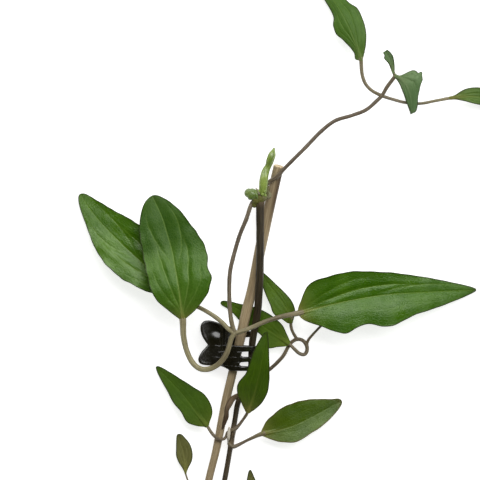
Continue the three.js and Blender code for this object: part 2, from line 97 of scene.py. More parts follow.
def makeStudio():
    scene = bpy.context.scene
    camera = newObject("camera", bpy.data.cameras.new("camera"))
    scene.camera = camera
    camera.data.sensor_width = studio["sensor"]
    camera.data.lens = studio["sensor"] * studio["cameraHeight"] / studio["fieldWidth"]
    camera.data.clip_end = 100
    camera.location = placed(studio["centre"]) + np.array([0, 0, studio["cameraHeight"] * mm])
    areaLight("key")
    areaLight("overhead").visible_glossy = False  # it lifts the shade and leaves the gloss to the key light
    world = bpy.data.worlds.new("studioAir")
    scene.world = world
    world.use_nodes = True
    air = world.node_tree.nodes["Background"]
    air.inputs["Color"].default_value = (1, 1, 1, 1)
    air.inputs["Strength"].default_value = studio["ambient"]
    world.cycles_visibility.glossy = False
    scene.view_settings.view_transform = "Standard"
    half = studio["floorWidth"] * mm / 2
    mesh = bpy.data.meshes.new("floor")
    mesh.from_pydata([(-half, -half, 0), (half, -half, 0), (half, half, 0), (-half, half, 0)], [], [range(4)])
    grey = studio["floorGrey"]
    mesh.materials.append(newFinish("palePaper", 0.9, 0.1, Base_Color=(grey, grey, grey, 1),
                                    Emission_Color=(1, 1, 1, 1), Emission_Strength=studio["floorGlow"])[0])
    newObject("floor", mesh)


makeStudio()
print("studio: camera, two soft lights and a pale floor")


# ---- lines, grids and meshes

uvPerMm = 0.01  # how far u runs for each millimetre along a piece; v runs once round it


def unit(ways):
    # each way divided by its length
    return ways / np.linalg.norm(ways, axis=-1, keepdims=True)


def between(first, second, start, end, time):
    # a straight blend: all first at the start, all second at the end
    return (first * (end - time) + second * (time - start)) / (end - start)


def pathThrough(points, samples=48):
    # a centripetal Catmull-Rom line: between two points it bends towards their neighbours, with the
    # square root of each distance as its time. Gives close points and the length up to each of them
    p = np.asarray(points, float)
    p = np.vstack([2 * p[0] - p[1], p, 2 * p[-1] - p[-2]])
    times = np.concatenate([[0], np.cumsum(np.sqrt(np.linalg.norm(np.diff(p, axis=0), axis=1)))])
    share = np.linspace(0, 1, samples, endpoint=False)[:, None]
    spans = []
    for i in range(len(p) - 3):
        t = times[i:i + 4]
        time = t[1] + share * (t[2] - t[1])
        a, b, c = [between(p[i + k], p[i + k + 1], t[k], t[k + 1], time) for k in range(3)]
        before, after = between(a, b, t[0], t[2], time), between(b, c, t[1], t[3], time)
        spans.append(between(before, after, t[1], t[2], time))
    line = np.vstack(spans + [p[-2:-1]])
    return line, np.concatenate([[0], np.cumsum(np.linalg.norm(np.diff(line, axis=0), axis=1))])


def flatPath(points):
    return pathThrough([(*point, 0) for point in points])


def pointsAt(path, share):
    # where the line is at a share of its length
    line, lengths = path
    return np.stack([np.interp(share * lengths[-1], lengths, line[:, k]) for k in range(3)], axis=-1)


def smoothValues(values, share):
    # evenly spread values joined by a Catmull-Rom curve, read at a share of the way
    v = np.asarray(values, float)
    place = np.clip(share, 0, 1) * (len(v) - 1)
    i = np.minimum(place.astype(int), len(v) - 2)
    before, start, end, after = v[np.maximum(i - 1, 0)], v[i], v[i + 1], v[np.minimum(i + 2, len(v) - 1)]
    w = place - i
    a, b = (end - before) / 2, (after - start) / 2
    return (2 * start - 2 * end + a + b) * w**3 + (3 * end - 3 * start - 2 * a - b) * w**2 + a * w + start


def ripple(x, y, seed, waves, longest):
    # a sum of a few plane waves in seeded directions, each shorter than the last, between about -1 and 1
    dice = np.random.RandomState(seed)
    total = 0
    for k in range(waves):
        turn, phase = dice.uniform(0, 2 * np.pi, 2)
        pitch = longest * 0.8**k
        total = total + np.sin((x * np.cos(turn) + y * np.sin(turn)) * 2 * np.pi / pitch + phase)
    return total / np.sqrt(waves * 2)


def easing(value, start, end):
    # 0 up to the start, 1 from the end on, and a soft S between them
    t = np.clip((value - start) / (end - start), 0, 1)
    return t * t * (3 - 2 * t)


def bell(value):
    # 1 at zero, nearly gone two away from it
    return np.exp(-(value**2))


def shell(grid, u, v, **marks):
    # a closed skin over a grid of rows that each run round once; a fan closes either end.
    # u has a value for each row and v one more value than a row has points
    rows, around = grid.shape[:2]
    count = rows * around
    r = np.arange(rows - 1)[:, None, None] + np.array([0, 0, 1, 1])
    c = np.arange(around)[None, :, None] + np.array([0, 1, 1, 0])
    quads = (r * around + c % around).reshape(-1, 4)
    quadUv = np.stack(np.broadcast_arrays(u[r], v[c]), -1).reshape(-1, 4, 2)
    sides, sidesV = c[0, :, 1::-1] % around, np.stack([v[1:], v[:-1]], -1)
    fans = [np.insert(sides, 0, count, 1), np.insert(sides[:, ::-1] + count - around, 0, count + 1, 1)]
    fans = np.concatenate(fans)
    fanV = np.concatenate([np.insert(s, 0, (v[:-1] + v[1:]) / 2, 1) for s in (sidesV, sidesV[:, ::-1])])
    fanUv = np.stack(np.broadcast_arrays(np.repeat([u[0], u[-1]], around)[:, None], fanV), -1)
    points = np.vstack([grid.reshape(-1, 3), grid[0].mean(0), grid[-1].mean(0)])
    p, q, s, t = [points[quads[:, k]] for k in range(4)]
    volume = (p * (np.cross(q, s) + np.cross(s, t))).sum()
    way = -1 if volume < 0 else 1  # below zero the rows run the other way round
    values = {}
    for name, mark in marks.items():
        mark = np.broadcast_to(mark, (rows, around))
        values[name] = np.concatenate([mark.ravel(), [mark[0].mean(), mark[-1].mean()]])
    faces = [(quads[:, ::way], quadUv[:, ::way]), (fans[:, ::way], fanUv[:, ::way])]
    return {"points": points, "faces": faces, "marks": values}


def buildPiece(name, shells, material, replaces, body="shoot"):
    # several closed skins as one mesh, with its place in its points, riding on its body
    points, faces, uvs, used = [s["points"] for s in shells], [], [], 0
    for s in shells:
        for corners, uv in s["faces"]:
            faces += (corners + used).tolist()
            uvs.append(uv.ravel())
        used += len(s["points"])
    mesh = bpy.data.meshes.new(name)
    mesh.from_pydata(placed(np.vstack(points)), [], faces)
    mesh.uv_layers.new(name="skin").data.foreach_set("uv", np.concatenate(uvs))
    for mark in shells[0]["marks"]:
        values = np.concatenate([s["marks"][mark] for s in shells])
        mesh.attributes.new(mark, "FLOAT", "POINT").data.foreach_set("value", values)
    mesh.shade_smooth()
    mesh.validate()
    mesh.materials.append(material)
    piece = newObject(name, mesh)
    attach(piece, body)
    if replaces:
        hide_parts(*replaces)


def rod(points, radii, tint=(0,), sides=16, step=0.8, ends="round", shape=None, up=(0, 0, 1), slant=0):
    # rings round a line: each point lies at its ring's radius, which shape(angle, distance) varies.
    # A round end is a dome of shrinking rings; a cut end is flat with a small bevel and may slant
    path = pathThrough(points)
    length = path[1][-1]
    count = max(8, int(length / step))
    share = np.linspace(0, 1, count)
    line = pointsAt(path, share)
    ahead = unit(np.gradient(line, axis=0))
    sideways = unit(np.cross(ahead, np.array(up, float)))
    lift = np.cross(sideways, ahead)
    radius = smoothValues(radii, share)
    turns, deep = ([78, 60, 42, 24], 1) if ends == "round" else ([20], 0.35)
    reach, shrink = deep * np.sin(np.radians(turns)), np.cos(np.radians(turns))
    rows = np.clip(np.arange(-len(turns), count + len(turns)), 0, count - 1)
    out = np.concatenate([-reach * radius[0], np.zeros(count), (reach * radius[-1])[::-1]])[:, None]
    scale = np.concatenate([shrink, np.ones(count), shrink[::-1]])
    angle = np.linspace(0, 2 * np.pi, sides + 1)
    turn = angle[None, :-1] - np.pi / 2  # 0 is the right side, and the seam runs underneath
    distance = (share * length)[rows]
    size = (radius[rows] * scale)[:, None] * np.ones_like(turn)
    if shape is not None:
        size = size * (1 + shape(turn, distance[:, None]))
    # a slanted far end's rings lean back where they are high
    lean = easing(distance, length - 4, length)[:, None] * slant * size * np.sin(turn)
    grid = line[rows][:, None] + ahead[rows][:, None] * (out - lean)[..., None]
    grid = grid + sideways[rows][:, None] * (size * np.cos(turn))[..., None]
    grid = grid + lift[rows][:, None] * (size * np.sin(turn))[..., None]
    shades = smoothValues(tint, share) if len(tint) > 1 else np.full(count, tint[0])
    return shell(grid, distance * uvPerMm, angle / (2 * np.pi), tint=shades[rows][:, None])


def ball(centre, radii, tint):
    # a sphere's rings, stretched along each axis
    high = np.linspace(-np.pi / 2, np.pi / 2, 14)[1:-1, None]
    turn = np.linspace(0, 2 * np.pi, 21)[:-1]
    flat = np.cos(high)
    grid = np.stack([flat * np.cos(turn), flat * np.sin(turn), np.sin(high) + 0 * turn], axis=-1)
    return shell(grid * radii + centre, np.linspace(0, 0.1, 12), np.linspace(0, 1, 21), tint=tint)


# ---- materials: small helpers, then one function for each finish

def colour(red, green, blue):
    # a colour as it looks on a screen, 0 to 255, as the linear numbers that a shader wants
    c = np.array([red, green, blue]) / 255
    return (*np.where(c <= 0.04045, c / 12.92, ((c + 0.055) / 1.055) ** 2.4), 1)


def add(tree, kind, output, values=(), **settings):
    # a node with its values and links; gives what comes out of it
    made = tree.nodes.new("ShaderNode" + kind)
    for key, value in settings.items():
        setattr(made, key, value)
    for key, value in dict(values).items():
        if isinstance(value, bpy.types.NodeSocket):
            tree.links.new(value, made.inputs[key])
        else:
            made.inputs[key].default_value = value
    return made.outputs[output]


def objectPlace(tree):
    return add(tree, "TexCoord", "Object")


def skinPlace(tree, scale):
    uv = add(tree, "UVMap", "UV", uv_map="skin")
    return add(tree, "Mapping", "Vector", {"Vector": uv, "Scale": scale})


def noise(tree, place, scale, detail=3, roughness=0.55):
    values = {"Vector": place, "Scale": scale, "Detail": detail, "Roughness": roughness}
    return add(tree, "TexNoise", "Fac", values)


def mark(tree, name):
    return add(tree, "Attribute", "Fac", attribute_name=name)


def stretch(tree, value, low, high, toLow=0.0, toHigh=1.0):
    values = {"Value": value, "From Min": low, "From Max": high, "To Min": toLow, "To Max": toHigh}
    return add(tree, "MapRange", "Result", values)


def blend(tree, share, first, second):
    # two colours mixed by a share; each is a node's result, or red, green and blue as on a screen
    first, second = [colour(*tone) if isinstance(tone, tuple) else tone for tone in (first, second)]
    return add(tree, "Mix", 2, {0: share, 6: first, 7: second}, data_type="RGBA")


def calc(tree, operation, first, second):
    return add(tree, "Math", 0, {0: first, 1: second}, operation=operation)


def cover(tree, shader, skin, height, depth):
    # the colour and the relief that a finish ends in
    tree.links.new(skin, shader.inputs["Base Color"])
    bump = add(tree, "Bump", "Normal", {"Height": height, "Distance": depth, "Strength": 1.0})
    tree.links.new(bump, shader.inputs["Normal"])


def leafFinish(name, look):
    # blade green that clouds between a deep and a fresh tone, paler veins, a netted fine grain, wax, and a
    # painted shade where the wax is dull
    material, tree, shader = newFinish(name, look["roughness"], look["specular"],
                                       Specular_Tint=(0.84, 1, 0.68, 1))
    place = objectPlace(tree)
    clouds = stretch(tree, noise(tree, place, 80, 4), 0.36, 0.64, 0, 0.6)
    streaks = noise(tree, skinPlace(tree, (2.2, 26, 1)), 3.2, 4, 0.6)
    tone = calc(tree, "ADD", clouds, stretch(tree, streaks, 0.35, 0.65, 0, 0.4))
    values = {"Vector": skinPlace(tree, (1, 1, 1)), "Scale": 62, "Randomness": 1.0}
    cells = add(tree, "TexVoronoi", "Distance", values, feature="DISTANCE_TO_EDGE")
    net = stretch(tree, cells, 0, 0.2, 1, 0)
    dull = mark(tree, "dull")
    skin = blend(tree, tone, look["deep"], look["fresh"])
    # the first blend is a painted shade: a darker green mixed in where the wax is dull, as far as the look's
    # share for it asks
    for part, strength, tint in (
        (dull, "shadeShare", "shade"), (net, "netShare", "vein"), (mark(tree, "vein"), "veinShare", "vein"),
    ):
        skin = blend(tree, calc(tree, "MULTIPLY", part, look[strength]), skin, look[tint])
    for part in ("stalk", "under", "margin"):
        skin = blend(tree, mark(tree, part), skin, look[part])
    wax = noise(tree, place, 170, 3)
    rough = stretch(tree, wax, 0.3, 0.7, look["roughness"] - 0.08, look["roughness"] + 0.1)
    rough = calc(tree, "ADD", rough, calc(tree, "MULTIPLY", dull, 0.32))
    tree.links.new(rough, shader.inputs["Roughness"])
    height = calc(tree, "ADD", calc(tree, "MULTIPLY", net, -0.4), calc(tree, "MULTIPLY", streaks, 0.9))
    height = calc(tree, "ADD", height, calc(tree, "MULTIPLY", noise(tree, place, 800, 2), 0.15))
    cover(tree, shader, skin, height, 0.00012)
    return material


def stalkFinish(name, brown, olive, speck, roughness, specular, relief):
    # skin that runs from brown to olive with the tint mark, drawn out in fine lengthwise lines
    material, tree, shader = newFinish(name, roughness, specular)
    lines = noise(tree, skinPlace(tree, (3, 14, 1)), 2.4, 4, 0.6)
    spots = noise(tree, objectPlace(tree), 420, 3)
    brown = blend(tree, stretch(tree, lines, 0.35, 0.65), *brown)
    olive = blend(tree, stretch(tree, lines, 0.3, 0.7), *olive)
    skin = blend(tree, mark(tree, "tint"), brown, olive)
    skin = blend(tree, stretch(tree, spots, 0.62, 0.75, 0, 0.5), skin, speck)
    cover(tree, shader, skin, calc(tree, "ADD", lines, calc(tree, "MULTIPLY", spots, 0.4)), relief)
    return material


def caneFinish():
    # tan wood with long fibres, brown smudges, a painted shade down the right side near the top, and pale
    # fresh wood where the tint mark shows the cut
    material, tree, shader = newFinish("caneWood", 0.62, 0.35)
    fibres = noise(tree, skinPlace(tree, (0.9, 9, 1)), 4.5, 6, 0.65)
    smudges = noise(tree, skinPlace(tree, (2.2, 2, 1)), 3.1, 3)
    wood = blend(tree, stretch(tree, fibres, 0.32, 0.68), (124, 104, 70), (178, 161, 129))
    wood = blend(tree, stretch(tree, smudges, 0.52, 0.72, 0, 0.45), wood, (100, 80, 56))
    # painted shade: a darker brown on the cane's right side near the top
    wood = blend(tree, mark(tree, "stain"), wood, (70, 52, 30))
    pores = noise(tree, objectPlace(tree), 1500, 2)
    cut = blend(tree, stretch(tree, pores, 0.45, 0.65), (226, 206, 168), (160, 130, 92))
    cover(tree, shader, blend(tree, mark(tree, "tint"), wood, cut), fibres, 0.0003)
    return material


def blackPlasticFinish():
    # black moulding with a faint warm cast and the slight waviness that moulded plastic has
    material, tree, shader = newFinish("blackPlastic", 0.22, 0.85)
    place = objectPlace(tree)
    shade = blend(tree, noise(tree, place, 130, 2), (14, 13, 6), (28, 26, 14))
    scuffs = noise(tree, place, 500, 3)
    tree.links.new(stretch(tree, scuffs, 0.4, 0.7, 0.17, 0.23), shader.inputs["Roughness"])
    cover(tree, shader, shade, noise(tree, place, 200, 2), 0.00004)
    return material


def steelFinish():
    # drawn wire: bright metal with faint rings of wear
    material, tree, shader = newFinish("springSteel", 0.3, 0.5, Metallic=1.0)
    place = objectPlace(tree)
    shade = blend(tree, noise(tree, place, 500, 3), (150, 150, 148), (196, 196, 194))
    cover(tree, shader, shade, noise(tree, place, 2500, 2), 0.00003)
    return material


# shade is the green of a painted shade that a look mixes in where the wax is dull, as far as its share asks;
# most looks have none
plainLook = {
    "vein": (108, 134, 44), "stalk": (118, 118, 56), "under": (96, 120, 60), "margin": (36, 42, 12),
    "shade": (40, 70, 10), "veinShare": 0.6, "netShare": 0.1, "shadeShare": 0, "roughness": 0.3,
    "specular": 0.55,
}


def leafLook(deep, fresh, **changes):
    return {**plainLook, "deep": deep, "fresh": fresh, **changes}


leafLooks = {
    "outerGreen": leafLook((46, 86, 0), (74, 113, 14), specular=0.6),
    # the front leaflet's look darkens its dull part towards the tip with a painted shade
    "frontGreen": leafLook((48, 88, 8), (74, 111, 28), vein=(122, 150, 72), veinShare=0.7, specular=0.34,
                           shade=(34, 68, 14), shadeShare=1.7),
    "rightGreen": leafLook((42, 84, 0), (66, 106, 8), specular=0.5),
    "upperGreen": leafLook((48, 84, 4), (70, 106, 28), stalk=(96, 118, 52), veinShare=0.2, specular=0.4),
    "upperPaleGreen": leafLook((62, 94, 26), (86, 116, 54), veinShare=0.3, specular=0.45),
    "curledGreen": leafLook((68, 98, 50), (96, 124, 80), vein=(118, 138, 96), stalk=(104, 122, 78),
                            netShare=0.05, veinShare=0.3),
    "backGreen": leafLook((56, 86, 0), (78, 106, 6), vein=(84, 114, 20), stalk=(94, 112, 36), veinShare=0.2,
                          netShare=0.05, specular=0.3),
    "clipSideGreen": leafLook((44, 68, 0), (66, 96, 2), vein=(76, 104, 16), veinShare=0.3, netShare=0.04,
                              specular=0.25),
    "lowerGreen": leafLook((50, 76, 0), (72, 97, 0), veinShare=0.1, netShare=0.05, margin=(84, 62, 36)),
    "lowerLeftGreen": leafLook((46, 74, 0), (64, 94, 6), vein=(76, 106, 20), stalk=(92, 108, 36),
                               veinShare=0.2, netShare=0.04, specular=0.25),
    "oldGreen": leafLook((80, 82, 34), (102, 100, 56), vein=(116, 112, 70), veinShare=0.3, specular=0.3),
}
# dark and light brown, dark and light olive, specks, then roughness, gloss and depth of relief in metres
stalkLooks = {
    "stem": (((26, 20, 6), (62, 52, 30)), ((92, 76, 54), (138, 120, 94)), (30, 24, 16), 0.5, 0.4, 0.0003),
    "leafStalk": (((56, 44, 30), (122, 108, 86)), ((104, 96, 60), (174, 166, 126)), (70, 54, 38),
                  0.42, 0.45, 0.0002),
    "dryStalk": (((44, 34, 22), (92, 74, 54)), ((92, 74, 54), (142, 124, 100)), (44, 32, 22),
                 0.8, 0.2, 0.0004),
    "youngShoot": (((92, 118, 34), (164, 184, 92)), ((76, 100, 38), (116, 138, 68)), (150, 168, 84),
                   0.24, 0.85, 0.00025),
    "nodeSkin": (((70, 70, 24), (112, 112, 52)), ((170, 160, 138), (228, 220, 206)), (60, 52, 32),
                 0.6, 0.3, 0.0003),
}
leafFinishes = {name: leafFinish(name, look) for name, look in leafLooks.items()}
stalkFinishes = {name: stalkFinish(name, *look) for name, look in stalkLooks.items()}
caneWood, blackPlastic, springSteel = caneFinish(), blackPlasticFinish(), steelFinish()
print("finishes:", len(bpy.data.materials))


# ---- leaves

# left and right are the widths from the midrib at even stations from base to tip, or the points of that
# edge. Rise is how far each edge stands up for each millimetre of width, as one number or from base to tip,
# and bend the power by which it does: above 1 the rise comes late, near the edge, and below 1 early, near the
# midrib. Fold is how high the blade swells between its veins and veins how deep the side veins are, for the
# left and the right. Dull is how little the wax shines from base to tip, and how much painted shade a finish
# that has one lays there; wave and relief are how uneven the margin and the blade are, in millimetres, and
# tip is how brown the tip is. A nick is (station, side, depth, half width), with 1 for the left side and -1
# for the right. What a leaf doesn't say is as in plainLeaf
plainLeaf = {
    "big": False, "bend": (1, 1), "fold": (0.05, 0.05), "veins": (1, 1), "dull": (0, 0), "wave": 0.2,
    "relief": 0.12, "tip": 0.3, "nicks": (),
}


def newLeaf(**changes):
    return {**plainLeaf, **changes}


leaves = {
    "arched_leaflet_outer": newLeaf(
        midrib=[(-25, 23.5, 12.6), (-37.5, 34, 12.8), (-47.5, 42.5, 12.2), (-59.5, 53.5, 10), (-68, 62, 7),
            (-75.5, 71, 3.2), (-80.3, 78, 0.7)],
        left=(1, 1.5, 3.5, 8, 11.6, 13.2, 11.4, 7.2, 4.4, 2.2),
        right=(1, 2, 5, 10, 13.5, 14.2, 11.6, 8.3, 5.3, 2.8), finish="outerGreen", seed=3, big=True,
        rise=(0.19, 0.22), bend=(0.85, 1.5), fold=(0.055, 0.03), wave=0.35, relief=0.3,
    ),
    "arched_leaflet_front": newLeaf(
        midrib=[(-28.4, 13.9, 16.2), (-29.4, 22.5, 18.9), (-30.5, 31, 20.4), (-32.2, 40.5, 19.1),
            (-34, 50, 16.9), (-36.3, 58, 16.3), (-38.7, 66, 16.6), (-43.8, 77.2, 16.8)],
        left=(1.2, 1.5, 6, 12, 14.3, 14.6, 14.3, 12.8, 9.5, 5),
        right=(1.2, 1.5, 7.6, 14, 17, 16.8, 14.2, 10.4, 6.6, 3.2), finish="frontGreen", seed=8, big=True,
        rise=(0.1, (0.22, 0.22, 0.05, 0.2, 0.24)), fold=(0.085, 0.085),
        # the dull part towards the tip also takes the painted shade of its finish
        dull=(0, 0, 0, 0, 0.05, 0.3, 0.3, 0.3, 0.3), wave=0.3, relief=0.15, tip=0.2,
        nicks=[(0.43, -1, 1.1, 0.03), (0.37, -1, -0.3, 0.03)],
    ),
    "arched_leaflet_right": newLeaf(
        midrib=[(29.1, 18.5, 17.1), (48.5, 23.5, 17.3), (71.5, 27.5, 14.1), (94.3, 29, 8.3),
            (118.5, 30, 0.9)],
        left=(1, 5, 12.5, 14.2, 14, 11.3, 8.5, 5.8, 3.4, 1.6),
        right=(1, 4.5, 9, 15, 13.2, 15.6, 11, 7.5, 4.1, 1.6), finish="rightGreen", seed=5, big=True,
        rise=((0.25, 0.25, 0.22, 0, -0.25), 0.12), bend=(1.9, 0.5), fold=(0.08, 0.09), veins=(1, 0.12),
        relief=0.08, tip=0.9, nicks=[(0.33, -1, -0.8, 0.03), (0.465, -1, -0.5, 0.025)],
    ),
    "upper_leaflet_left": newLeaf(
        midrib=[(60.5, 144.6, 12), (58.5, 151, 12.6), (55, 160, 12), (50.5, 169, 9.8), (46.7, 175, 7.4),
            (41, 182, 4), (36, 188, 0.7)],
        left=[(59.6, 144.6), (57.6, 145.3), (57, 148.2), (55.2, 150.8), (51.6, 154.6), (48.2, 158),
            (46.5, 162), (46.7, 166.5), (42.6, 174.4), (38.5, 181), (35.4, 187.6)],
        right=[(61.2, 144.6), (62.4, 149.5), (63.2, 155), (62.7, 161), (59, 170.5), (54.8, 173.6),
            (50.6, 178.6), (44, 184), (36.8, 188.4)],
        finish="upperGreen", seed=11, rise=(-0.34, -0.08), fold=(0.03, 0.05), dull=(0.5, 0.5), wave=0.4,
        relief=0.2, tip=0.2,
    ),
    "upper_leaflet_right": newLeaf(
        midrib=[(104.6, 125.9, 9.3), (112.5, 126.8, 8.8), (120, 126.5, 7), (130, 124, 3.4),
            (138, 120.5, 0.7)],
        left=(0.8, 0.9, 1.4, 3.4, 4.6, 4.7, 4, 3, 1.8, 0.9),
        right=(0.8, 0.9, 1.2, 2.4, 3.6, 4, 3.8, 3, 1.8, 0.9), finish="upperPaleGreen", seed=12,
        rise=(0.2, 0.2), wave=0.3, relief=0.15, tip=0.2,
    ),
    "upper_leaflet_curled": newLeaf(
        midrib=[(76.6, 138, 13), (76, 141, 13.4), (75, 144.5, 14.2), (73.6, 147.4, 14.4),
            (72.4, 149.2, 13.8)],
        left=[(76.1, 138), (74.9, 141.1), (74, 143.1), (72.6, 144.6), (71.8, 145.7), (72, 147.1),
            (71.2, 148.5)],
        right=[(77.1, 138), (77.3, 140.7), (76.9, 144.7), (76.3, 147.1), (74.9, 148.9), (73.4, 150.1)],
        finish="curledGreen", seed=13, rise=(0.6, 0.35), bend=(1.5, 1), fold=(0.1, 0.1), dull=(1, 1),
        wave=0.15, relief=0.1, tip=0.2,
    ),
    "upper_leaflet_folded": newLeaf(
        midrib=[(77.4, 136.9, 13), (80.4, 135.4, 14), (83.6, 131.5, 14.6), (85.6, 125, 13.8),
            (85.7, 117.9, 12.3)],
        left=[(77.3, 138.2), (79.7, 137.2), (81.9, 138), (84.3, 139.2), (86.5, 139.9), (88, 139.5),
            (89, 138.4), (90.2, 139.1), (91, 138.8), (91, 137.2), (91.3, 135), (90.4, 132.8), (89.6, 129.6),
            (89, 126.5), (88.8, 122.5), (87.8, 119.1), (86, 118.1)],
        right=[(76.8, 136.6), (77.3, 136), (78.3, 134.8), (80.1, 131.6), (81.7, 127.6), (83.3, 122.9),
            (84.7, 119.3), (85.2, 117.7)],
        finish="curledGreen", seed=14, rise=(-0.15, -0.1), fold=(0.06, 0.06), dull=(0.6, 0.6), wave=0.5,
        relief=0.15,
    ),
    "twining_leaflet_top": newLeaf(
        midrib=[(25.6, 13.4, 7.6), (24.6, 18, 8), (21.5, 23.5, 7.8), (15.5, 31.5, 5.4), (9, 40.5, 3.2)],
        left=(0.9, 2.2, 4, 6, 6.8, 5.8, 4.9, 3.6, 2.4, 1.3, 0.6),
        right=(0.9, 1.1, 2, 3.6, 4.3, 3.9, 3.3, 2.6, 1.8, 1, 0.5), finish="backGreen", seed=21,
        rise=(0.1, 0.1), veins=(0.5, 0.5), dull=(0.6, 0.6),
    ),
    "twining_leaflet_left": newLeaf(
        midrib=[(24.6, 3, 7), (15, 9.5, 4.4), (5, 16.3, 2.4), (-3, 21.5, 1.8), (-9.7, 23.8, 1.2)],
        left=(0.9, 2.2, 4.5, 8, 4.5, 4.5, 4.5, 3.2, 2, 1.3),
        right=(0.9, 1.8, 3.5, 6, 6.7, 6.5, 5, 2.6, 1.8, 1.2), finish="backGreen", seed=22,
        rise=(0.05, 0.12), fold=(0.04, 0.04), veins=(0.5, 0.5), dull=(1, 1), wave=0.15, relief=0.1,
    ),
    "twining_leaflet_hidden": newLeaf(
        midrib=[(40.5, 12.2, 9.3), (46, 18.5, 9.8), (51.5, 25, 8.6), (57, 30, 6.6)],
        left=(0.7, 1.4, 3, 4.4, 4, 2.4, 1.2), right=(0.7, 1.4, 3, 4.4, 4, 2.4, 1.2), finish="backGreen",
        seed=23, rise=(0.1, 0.1), dull=(0.6, 0.6),
    ),
    "beside_clip_leaf": newLeaf(
        midrib=[(3.8, -31.4, 8.4), (7, -22.5, 14), (10, -10, 19.6), (12, 0, 21.6), (13.3, 9.3, 21.8)],
        left=(0.9, 2, 4.8, 8.3, 9.2, 6.6, 5.8, 4.8, 3, 1.4),
        right=(0.9, 1.5, 3.3, 5.2, 6.2, 5.4, 3.9, 2.5, 1.5, 0.7), finish="clipSideGreen", seed=31,
        rise=(0.12, 0.2), dull=(0.8, 0.8),
    ),
    "lower_right_leaf": newLeaf(
        midrib=[(10.8, -42, 6.1), (20, -40, 6.8), (30, -36.5, 6.2), (40, -31.5, 3.8), (51, -25.5, 0.7)],
        left=(1, 2.8, 6.4, 8.8, 10.8, 10.5, 8.8, 6, 3.3, 1.8),
        right=(1, 1.8, 3.8, 6.4, 8.1, 7.3, 6.5, 5, 3.3, 1.8), finish="lowerGreen", seed=41,
        rise=(0.28, 0.2), bend=(1, 1.5), fold=(0.02, 0), veins=(0.4, 0.4), dull=(0.3, 0.2), tip=0.7,
    ),
    "lower_left_leaf": newLeaf(
        midrib=[(-16.3, -38.3, 6.3), (-22, -31, 7), (-28.5, -22.5, 5.8), (-35.5, -15, 3.2),
            (-42, -8.5, 0.7)],
        left=(1, 1.6, 4.4, 6.8, 6.2, 6.3, 4.9, 3.5, 2.2, 1),
        right=(1, 2.2, 6.2, 8.3, 8.6, 6.4, 4.6, 3.3, 2.2, 1.2), finish="lowerLeftGreen", seed=42,
        rise=(0.12, 0.12), fold=(0.015, 0.015), veins=(0.5, 0.5), dull=(1, 1),
    ),
    "basal_left_leaf": newLeaf(
        midrib=[(-27.3, -62, 3.3), (-27.8, -54, 3.7), (-29.3, -48, 3.3), (-31, -42.2, 2.2)],
        left=(0.5, 0.6, 1.6, 3.4, 3.9, 2.9, 1.9, 1.1), right=(0.5, 0.7, 1.7, 3.6, 4.5, 4.2, 2.9, 1.7),
        finish="oldGreen", seed=51, rise=(0.2, 0.2), fold=(0.06, 0.06), dull=(0.8, 0.8), tip=0.5,
    ),
    "basal_right_leaf": newLeaf(
        midrib=[(8.4, -75.8, 3.1), (7.7, -70.5, 3.4), (6.2, -65.3, 3.2), (5.1, -60.2, 2.6)],
        left=(0.5, 0.8, 1.9, 3.2, 3.4, 2.8, 1.8, 1), right=(0.5, 0.7, 1.4, 2.2, 2.1, 1.5, 1, 0.6),
        finish="oldGreen", seed=52, rise=(0.2, 0.2), fold=(0.06, 0.06), dull=(0.8, 0.8), tip=0.8,
    ),
}
blade = {
    "thickness": 0.34, "rim": 0.16, "tipWidth": 0.3,
    "rowStep": 0.42, "rowLimits": (70, 210), "columnStep": 0.25, "columnLimits": (36, 126),
    "roundFor": 6,  # millimetres over which the stalk's roundness flattens into the blade
    "midribWidth": 0.28, "midribDepth": 0.16, "veinWidth": 0.26, "veinDepth": 0.12,
    "marginWidth": 0.4, "marginWaves": (17, 9.3),  # millimetres between crests
    "unevenMargin": 0.02, "unevenVeins": 0.35, "swelling": 0.62,
}
# a side vein runs from one share of the length to another, and meanwhile out from one share of the width
# to another: (start, end, startShare, endShare, strength)
sideVeins = {
    True: [(0, 0.74, 0.03, 0.5, 1), (0, 0.5, 0.1, 0.8, 0.5), (0.4, 0.97, 0, 0.7, 0.6)],
    False: [(0, 0.8, 0.03, 0.52, 1), (0, 0.55, 0.1, 0.8, 0.6)],
}


def bladeEdge(outline, outward, centre, station, along):
    # an edge's way out from the midrib: its drawn points, or its width square to the midrib
    if isinstance(outline, list):
        out = pointsAt(flatPath(outline), along[:, 0]) - centre
        out[:, 2] = 0
    else:
        width = smoothValues((*outline, blade["tipWidth"]), station)
        out = outward * np.maximum(width, blade["tipWidth"])
    reach = np.maximum(np.linalg.norm(out, axis=1, keepdims=True), 0.05)
    return out / reach, reach


